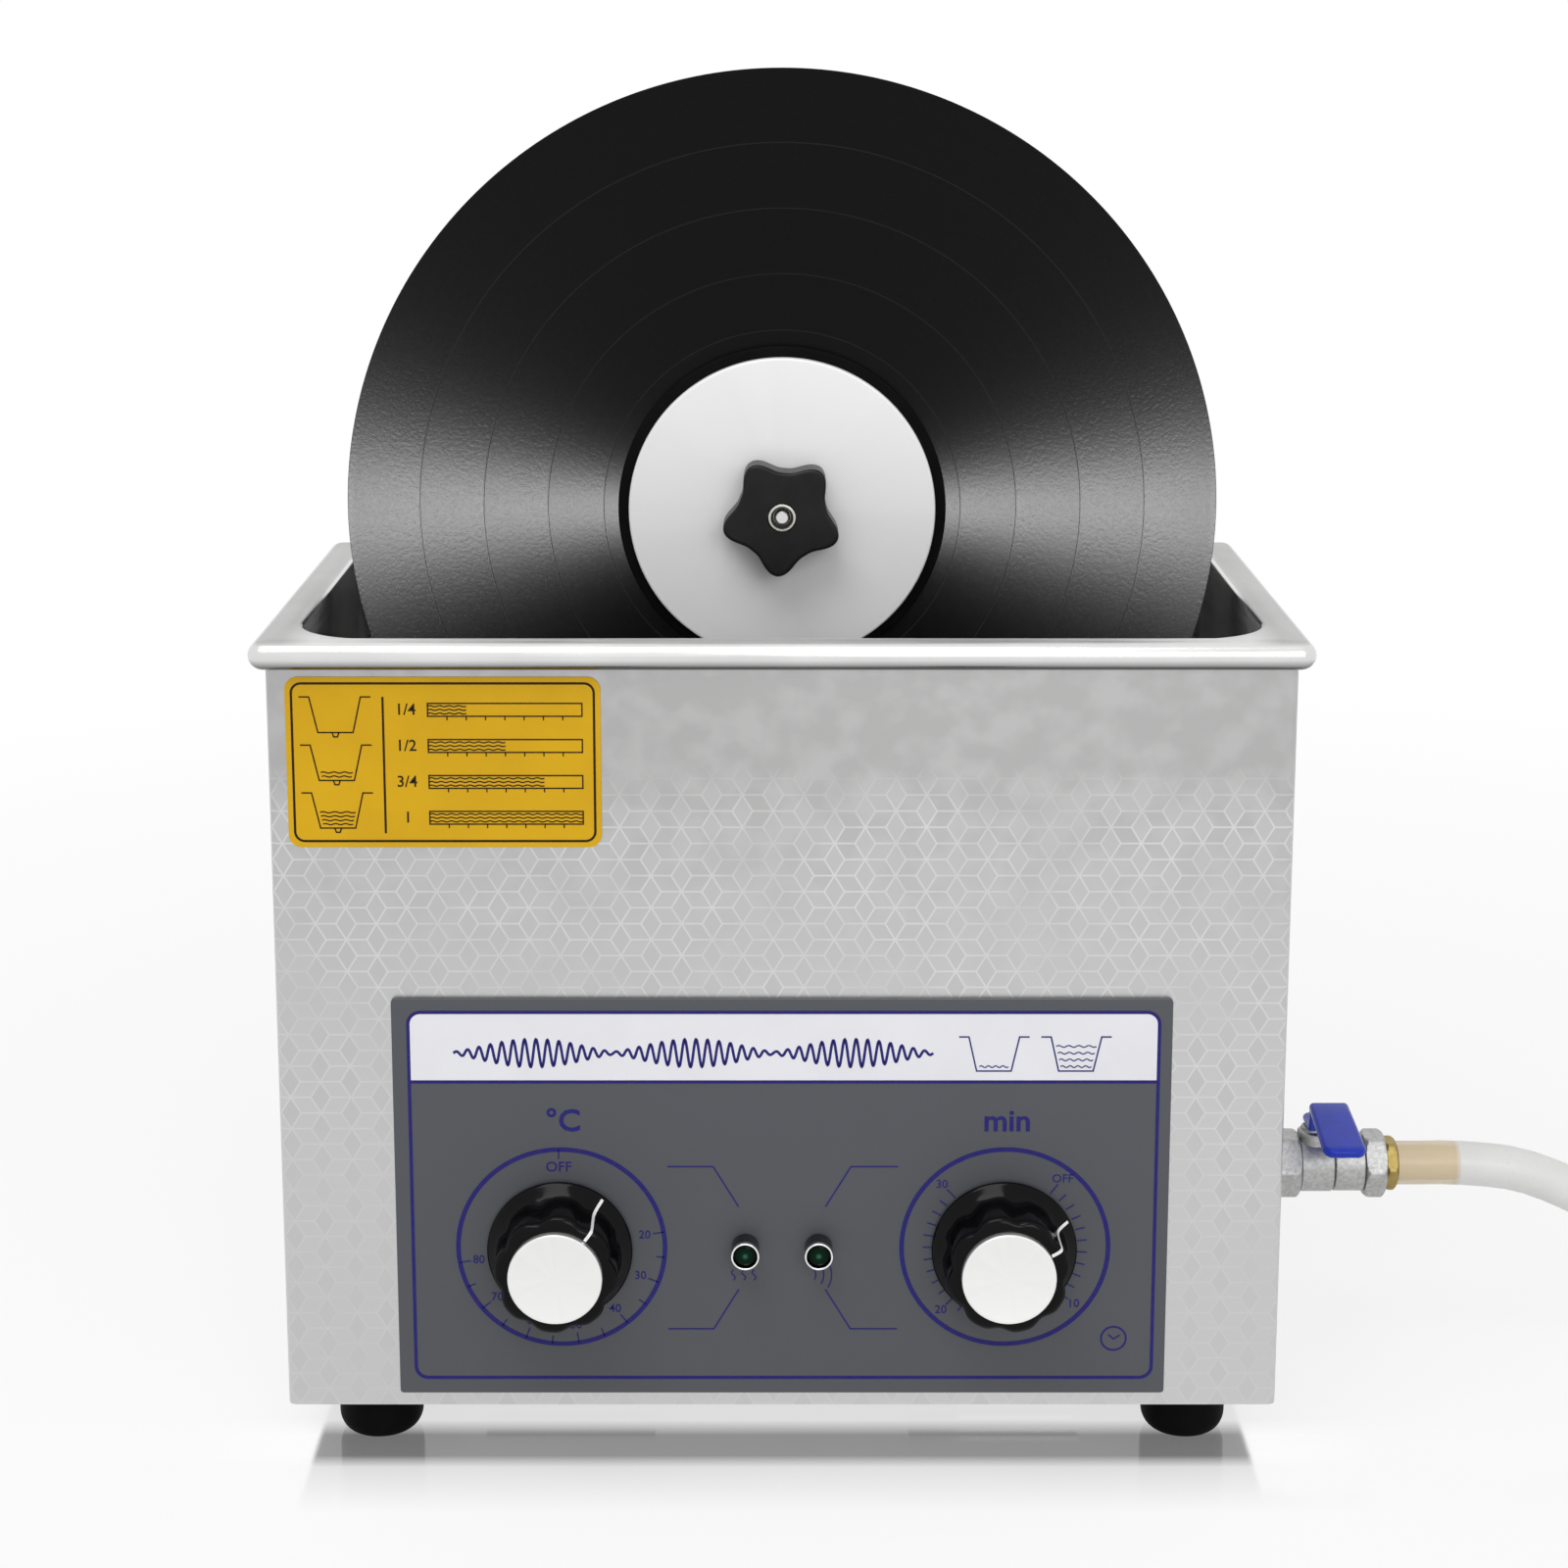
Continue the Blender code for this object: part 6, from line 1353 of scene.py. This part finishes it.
def makeLever():
    place = at(valve["wall"] + valve["ball"], 0, valve["height"])
    low, high, tip = lever["low"], lever["high"], lever["tip"]
    start, end = lever["bend"]
    rise = math.atan2(high - low, end - start)
    droop = math.atan2(high - tip, lever["length"] - end)
    stations = []
    for share in (0.0, 0.12, 0.3, 0.55, 1.0):
        wide = lever["rootWidth"] * (0.55 + 0.45 * math.sqrt(1 - (1 - share) ** 2))
        stations.append((-lever["tail"] + 0.003 * share, low, 0, wide, lever["root"]))
    # The steep neck: its two bends are eased over a few rings.
    steps = 6
    for step in range(-3, 4):
        share = (step + 3) / steps
        tilt = -rise * share
        bend = share * share
        forward = start - 0.0012 + 0.0012 * (share + bend * math.cos(rise))
        stations.append((forward, low + 0.0012 * bend * math.sin(rise), tilt, lever["rootWidth"], lever["root"]))
    for step in range(0, 7):
        share = step / steps
        tilt = -rise + (rise + droop) * share
        back = (1 - share) ** 2
        forward = end + 0.0012 * (share - back * math.cos(rise))
        middle = high - 0.0012 * back * math.sin(rise) - 0.0002 * share
        wide = lever["rootWidth"] + (lever["bendWidth"] - lever["rootWidth"]) * (0.5 + 0.5 * share)
        stations.append((forward, middle, tilt, wide, lever["grip"] * (0.85 + 0.15 * share)))
    reach = lever["length"] - lever["round"]
    for share in (0.3, 0.6, 1.0):
        forward = end + 0.0012 + (reach - end - 0.0012) * share
        middle = high - (forward - end) * math.tan(droop)
        wide = lever["bendWidth"] + (lever["width"] - lever["bendWidth"]) * share
        stations.append((forward, middle, droop, wide, lever["grip"]))
    for share in (0.2, 0.4, 0.6, 0.8, 0.92, 0.98, 1.0):
        back = math.sqrt(max(1 - share ** 2, 0))
        thick = lever["grip"] * (0.35 + 0.65 * math.sqrt(max(1 - share ** 4, 0)))
        wide = lever["width"] - 2 * lever["round"] * (1 - back) * 0.9
        forward = reach + lever["round"] * share
        stations.append((forward, high - (forward - end) * math.tan(droop), droop, wide, thick))
    mesh = loftMesh("dippedLever", [leverRing(*station) for station in stations], angle=50)
    made = piece(
        "dippedLever", mesh, paint["blueDip"], "drain_lever", place, hides=("valve_lever",)
    )
    made.data.polygons.foreach_set("use_smooth", [True] * len(made.data.polygons))
    under, over = lever["nut"]
    rings = [circle(0.0031, under, 96)] + hexRings(0.0080, under, over) + [circle(0.0031, over, 96)]
    mesh = loftMesh("leverNut", rings, looped=True)
    piece("leverNut", mesh, paint["pinSteel"], "drain_lever", place, hides=("lever_nut",))


makeValve()
makeLever()
dress("valve_stem", paint["pinSteel"])
dress("valve_ball", paint["chrome"])
dress("drain_fitting", paint["castSteel"])
print("valve and lever made")


# Spindle, record and clamp. Each lies along Y, its own +Z towards the front.

spindle = {"y": 0.0140, "z": 0.306}
spindlePlace = at(0, spindle["y"], spindle["z"])
record = {
    "radius": 0.1508, "label": 0.0500, "labelHalf": 0.00115, "bodyHalf": 0.0010, "edgeHalf": 0.0012,
    "hole": 0.00362, "bands": (0.0620, 0.0813, 0.1036, 0.1258), "bandWidth": 0.0006, "bandDepth": 0.00012,
    "ringHalf": 0.00022,
}


def recordHalf():
    # From the hole out over label, grooves, separating bands and the bead of the rim
    points = [(record["hole"], record["labelHalf"]), (record["label"], record["labelHalf"])]
    points += [(record["label"] + 0.0004, record["bodyHalf"])]
    width, depth, half = record["bandWidth"], record["bandDepth"], record["bodyHalf"]
    for band in record["bands"]:
        points += [
            (band - width / 2, half), (band - width / 6, half - depth),
            (band + width / 6, half - depth * 0.2), (band + width / 2, half + depth * 0.1),
            (band + width * 0.7, half),
        ]
    rim = record["radius"]
    points += [
        (rim - 0.0046, half), (rim - 0.0030, record["edgeHalf"] - 0.0001), (rim - 0.0012, record["edgeHalf"]),
        (rim - 0.0002, record["edgeHalf"] - 0.0001), (rim, record["edgeHalf"] - 0.0004),
    ]
    return points


def makeRecord():
    front = recordHalf()
    profile = front + [(radius, -height) for radius, height in reversed(front)]
    mesh = latheMesh("record_grooved", profile, 288, 20)
    paint["vinyl"] = makeVinyl()
    piece(
        "record_grooved", mesh, paint["vinyl"], "record", spindlePlace, facingFront, hides=("record",)
    )


clamp = {"disc": 0.0530, "thick": 0.0030, "hub": 0.0490, "hubHeight": 0.0016, "seal": (0.0495, 0.05675, 0.0020)}


def makeClampDisc(name, node, body, facing, bore):
    step = 0.0026
    profile = filleted([
        (bore, step + clamp["thick"]), (clamp["disc"], step + clamp["thick"], 0.0009), (clamp["disc"], step),
        (clamp["hub"], step), (clamp["hub"], step - clamp["hubHeight"]), (bore, step - clamp["hubHeight"]),
    ], 5)
    way = -1 if facing == facingFront else 1
    place = spindlePlace + Vector((0, way * record["labelHalf"], 0))
    mesh = latheMesh(name, profile, 192)
    piece(name, mesh, paint["discAluminium"], body, place, facing, hides=(node,))


def makeSeal(name, node, body, facing):
    inner, outer, thick = clamp["seal"]
    profile = filleted([
        (inner, 0.0023), (outer, 0.0023, 0.0008), (outer, 0.0003, 0.0003), (inner, 0.0003), (inner, 0.0010),
    ], 5)
    way = -1 if facing == facingFront else 1
    place = spindlePlace + Vector((0, way * record["labelHalf"], 0))
    mesh = latheMesh(name, profile, 192)
    piece(name, mesh, paint["rubber"], body, place, facing, hides=(node,))


star = {
    "radius": 0.0206, "waist": 0.0155, "lobes": 5, "narrow": 1.4, "turn": math.radians(4.5), "points": 300,
    "back": 0.00835, "front": 0.02135, "edge": 0.0012, "bore": 0.0050, "insert": (0.0047, 0.0039, 0.0028),
}


def starOutline(inset):
    depth = star["radius"] - star["waist"]
    raw = []
    for step in range(star["points"]):
        angle = 2 * math.pi * step / star["points"]
        lobe = math.cos(star["lobes"] * (angle + math.pi / 2 + star["turn"]))
        radius = star["waist"] + depth * ((1 + lobe) / 2) ** star["narrow"]
        raw.append(Vector((radius * math.cos(angle), radius * math.sin(angle))))
    points = []
    for here, point in enumerate(raw):
        along = (raw[(here + 1) % len(raw)] - raw[here - 1]).normalized()
        points.append(point - Vector((along.y, -along.x)) * inset)
    return points


def makeStarKnob():
    back, front, edge = star["back"], star["front"], star["edge"]
    rings = []
    for way, level in ((1, back), (-1, front)):
        turns = [math.radians(18 * step) for step in range(6)][::way]
        for turn in turns:
            height = level + way * edge * (1 - math.cos(turn))
            rings.append([(x, y, height) for x, y in starOutline(edge * (1 - math.sin(turn)))])
    for height in (front, back):
        ring = []
        for x, y in starOutline(edge):
            turn = math.atan2(y, x)
            ring.append((star["bore"] * math.cos(turn), star["bore"] * math.sin(turn), height))
        rings.append(ring)
    mesh = loftMesh("starGrip", rings, looped=True, angle=50)
    made = piece(
        "starGrip", mesh, paint["knobBlack"], "star_knob", spindlePlace, facingFront,
        hides=("star_knob",),
    )
    flatten = made.modifiers.new("flatFaces", "WEIGHTED_NORMAL")
    flatten.weight = 100
    flatten.keep_sharp = True
    # A thin bright ring stands round a well darkened with painted shade, and the spindle's end shows at its bottom.
    outer, inner, well = star["insert"]
    profile = filleted([
        (inner, front + 0.0002, 0.0002), (outer, front + 0.0002, 0.0002), (outer, back), (well, back),
        (well, front - 0.0030), (inner, front - 0.0030), (inner, front - 0.0010),
    ])
    mesh = latheMesh("threadedInsert", profile, 64)
    piece(
        "threadedInsert", mesh, paint["pinSteel"], "star_knob", spindlePlace, facingFront,
        hides=("knob_insert",),
    )
    # The painted shade is a black lining set inside the well.
    paintedShadeLining = [(well + 0.0001, front - 0.0028), (inner - 0.0001, front - 0.0028), (inner - 0.0001, front - 0.0008)]
    paintedShadeLining += [(inner - 0.0003, front - 0.0008), (inner - 0.0003, front - 0.0026), (well + 0.0001, front - 0.0026)]
    mesh = latheMesh("wellPaintedShade", paintedShadeLining, 64)
    piece("wellPaintedShade", mesh, paint["matteBlack"], "star_knob", spindlePlace, facingFront)


def makeSpindleRod():
    # The front end is threaded: its crests follow a row of turns 0.8 mm apart
    tip = star["front"] - 0.0005
    profile = [(0, tip), (0.0019, tip), (0.0024, tip - 0.0004)]
    crest = tip - 0.0006
    while crest > 0.0020:
        profile += [(0.0025, crest), (0.0022, crest - 0.0004)]
        crest -= 0.0008
    profile += [(0.0025, 0.0015), (0.0033, 0.0014), (0.0033, -0.0070)]
    profile += [(0.0095, -0.0070), (0.0095, -0.0190), (0.0033, -0.0190), (0.0033, -0.1021), (0, -0.1021)]
    mesh = latheMesh("threadedSpindle", profile, 64)
    piece(
        "threadedSpindle", mesh, paint["turnedSteel"], "spindle", spindlePlace, facingFront,
        hides=("spindle_rod",),
    )


makeRecord()
makeClampDisc("frontClampDisc", "front_disc", "front_clamp", facingFront, 0.0028)
makeSeal("frontClampSeal", "front_seal", "front_clamp", facingFront)
makeClampDisc("rearClampDisc", "rear_disc", "spindle", facingRear, 0.0036)
makeSeal("rearClampSeal", "rear_seal", "spindle", facingRear)
makeStarKnob()
makeSpindleRod()
dress("knob_washer", paint["pinSteel"])
print("record and clamp made")


# Drive unit and rear fittings

for nodeName, finish in {
    "rim_bracket": "tankSteel", "motor_case": "matteBlack", "motor_cover": "matteBlack",
    "spindle_bush": "brass", "power_jack": "matteBlack", "clamp_pad_left": "rubber",
    "clamp_pad_right": "rubber", "clamp_screw_left": "knobBlack", "clamp_screw_right": "knobBlack",
    "power_inlet": "matteBlack", "switch_frame": "matteBlack", "switch_rocker": "glossBlack",
    "transducer_1": "ceramic", "transducer_2": "ceramic", "transducer_3": "ceramic",
    "heater_pad": "heaterMat",
}.items():
    dress(nodeName, paint[finish])

screw = {
    "radius": 0.0021, "height": 0.0012, "socket": 0.0018, "depth": 0.0009,
    "cover": (0.0335, 0.1395, (0.2882, 0.3290)), "plate": (0.1500, 0.0760, 0.0210),
}


def makeScrew(name, body, place, turn):
    # A low domed head with a six-sided socket
    radius, height = screw["radius"], screw["height"]
    rings = [circle(radius - 0.0002, 0.00005, 96), circle(radius, 0.0002, 96), circle(radius, 0.0004, 96)]
    for degrees in (20, 40, 60):
        angle = math.radians(degrees)
        level = 0.0004 + (height - 0.0004) * math.sin(angle)
        rings.append(circle(0.0013 + (radius - 0.0013) * math.cos(angle), level, 96))
    rings += [circle(0.0013, height, 96), hexRing(screw["socket"], height)]
    rings += [hexRing(screw["socket"], height - screw["depth"])]
    piece(name, loftMesh(name, rings), paint["pinSteel"], body, place, turn)


coverX, coverY, coverRows = screw["cover"]
plateX, plateY, plateZ = screw["plate"]
for sideX in (-1, 1):
    for row, coverZ in enumerate(coverRows):
        label = ("left" if sideX < 0 else "right") + ("_low", "_high")[row]
        makeScrew("cover_screw_" + label, "drive_unit", at(sideX * coverX, coverY, coverZ), facingRear)
    for sideY in (-1, 1):
        label = ("left" if sideX < 0 else "right") + ("_front" if sideY < 0 else "_rear")
        makeScrew("plate_screw_" + label, "cleaner", at(sideX * plateX, sideY * plateY, plateZ), facingDown)
print("drive unit dressed")


# Studio: a pale floor, a white surround and soft lamps

studio = {
    "floor": (0.86, 0.86, 0.86), "around": 0.56, "seen": 1.0, "floorGlow": 0.78, "glowFrom": 0.30,
    "glowTo": 1.10, "mirrorRough": 0.10, "mirrorHalf": (0.165, 0.200),
    # distance along Y and strength of the mirror, from the viewer's side to behind the front feet
    "mirror": ((-0.135, 0.0), (-0.104, 0.22), (-0.096, 0.80), (-0.081, 0.80), (-0.070, 0.12)),
    "lamps": (
        ("overhead", (-0.30, -0.75, 1.55), (0.0, 0.0, 0.20), (0.95, 0.80), 11.0),
        ("frontFill", (0.55, -1.75, 0.95), (0.0, 0.0, 0.20), (0.90, 0.90), 8.0),
    ),
    "grooveLamps": (("leftStrip", -0.64), ("rightStrip", 0.64)), "grooveY": -1.58, "grooveZ": 0.029,
    "grooveSize": (0.30, 0.14), "groovePower": 50.0,
}


def lightPathShare(tree):
    # 1 for what the camera, a reflection or a clear piece sees, and 0 for the light that falls on things
    path = tree.nodes.new("ShaderNodeLightPath").outputs
    seen = mathNode(tree, "MAXIMUM", path["Is Camera Ray"], path["Is Glossy Ray"])
    return mathNode(tree, "MAXIMUM", seen, path["Is Transmission Ray"])


def makeFloor():
    work = bmesh.new()
    bmesh.ops.create_grid(work, x_segments=1, y_segments=1, size=12)
    mesh = meshFrom("floor", work)
    floor = bpy.data.objects.new("floor", mesh)
    bpy.context.scene.collection.objects.link(floor)
    # Shaded near the machine, white farther off, with a faint mirror that fades towards the viewer
    made = bpy.data.materials.new("floorPaint")
    made.use_nodes = True
    tree = made.node_tree
    shader = tree.nodes["Principled BSDF"]
    shader.inputs["Base Color"].default_value = (*studio["floor"], 1)
    shader.inputs["Roughness"].default_value = 0.5
    shader.inputs["Specular IOR Level"].default_value = 0.0
    glow = addNode(tree, "ShaderNodeEmission", {"Color": (1, 1, 1, 1), "Strength": studio["seen"]})
    seen = lightPathShare(tree)
    where = tree.nodes.new("ShaderNodeTexCoord").outputs["Object"]
    away = vectorNode(tree, "LENGTH", where)
    share = spread(tree, away, studio["glowFrom"], studio["glowTo"], studio["floorGlow"], 1.0)
    share = mathNode(tree, "MULTIPLY", share, seen)
    lit = addNode(tree, "ShaderNodeMixShader", {0: share, 1: shader.outputs[0], 2: glow.outputs[0]})
    mirror = addNode(tree, "ShaderNodeBsdfGlossy", {
        "Color": (1, 1, 1, 1), "Roughness": studio["mirrorRough"],
    }, distribution="GGX")
    place = addNode(tree, "ShaderNodeSeparateXYZ", {"Vector": where}).outputs
    start, end = studio["mirror"][0][0], studio["mirror"][-1][0]
    ramp = addNode(tree, "ShaderNodeValToRGB", {"Fac": spread(tree, place["Y"], start, end, 0.0, 1.0)})
    stops = ramp.color_ramp.elements
    for distance, strength in studio["mirror"][1:-1]:
        stops.new((distance - start) / (end - start))
    for stop, (distance, strength) in zip(stops, studio["mirror"]):
        stop.color = (strength, strength, strength, 1)
    beside = mathNode(tree, "ABSOLUTE", mathNode(tree, "SUBTRACT", place["X"], tankMiddle.x))
    width = spread(tree, beside, *studio["mirrorHalf"], 1.0, 0.12)
    fade = mathNode(tree, "MULTIPLY", mathNode(tree, "MULTIPLY", ramp.outputs["Color"], width), seen)
    mix = addNode(tree, "ShaderNodeMixShader", {0: fade, 1: lit.outputs[0], 2: mirror.outputs[0]})
    tree.links.new(mix.outputs[0], tree.nodes["Material Output"].inputs["Surface"])
    mesh.materials.append(made)


def makeSurround():
    world = bpy.data.worlds.new("surround")
    bpy.context.scene.world = world
    world.use_nodes = True
    tree = world.node_tree
    tree.nodes.clear()
    around = addNode(tree, "ShaderNodeBackground", {"Color": (1, 1, 1, 1), "Strength": studio["around"]})
    seen = addNode(tree, "ShaderNodeBackground", {"Color": (1, 1, 1, 1), "Strength": studio["seen"]})
    mix = addNode(tree, "ShaderNodeMixShader", {
        0: lightPathShare(tree), 1: around.outputs[0], 2: seen.outputs[0],
    })
    output = tree.nodes.new("ShaderNodeOutputWorld")
    tree.links.new(mix.outputs[0], output.inputs["Surface"])


def makeSoftbox(name, place, target, size, power):
    data = bpy.data.lights.new(name, "AREA")
    data.shape = "RECTANGLE"
    data.size, data.size_y = size
    data.energy = power
    made = bpy.data.objects.new(name, data)
    bpy.context.scene.collection.objects.link(made)
    made.location = at(*place)
    made.rotation_euler = (at(*target) - at(*place)).to_track_quat("-Z", "Y").to_euler()
    return made


makeFloor()
makeSurround()
# Two strips at the sides rake the grooves and light only the record, which the softboxes leave out.
grooved = bpy.data.collections.new("groovedPieces")
grooved.objects.link(bpy.data.objects["record_grooved"])
allOthers = bpy.data.collections.new("allOtherPieces")
allOthers.objects.link(bpy.data.objects["record_grooved"])
allOthers.collection_objects[0].light_linking.link_state = "EXCLUDE"
for softboxRow in studio["lamps"]:
    softbox = makeSoftbox(*softboxRow)
    softbox.light_linking.receiver_collection = allOthers
for stripName, stripX in studio["grooveLamps"]:
    strip = makeSoftbox(
        stripName, (stripX, studio["grooveY"], studio["grooveZ"]), (0, spindle["y"], spindle["z"]),
        studio["grooveSize"], studio["groovePower"],
    )
    strip.light_linking.receiver_collection = grooved
    strip.light_linking.blocker_collection = grooved
    strip.visible_diffuse = False
bpy.context.scene.view_settings.view_transform = "Standard"
print("studio lit")
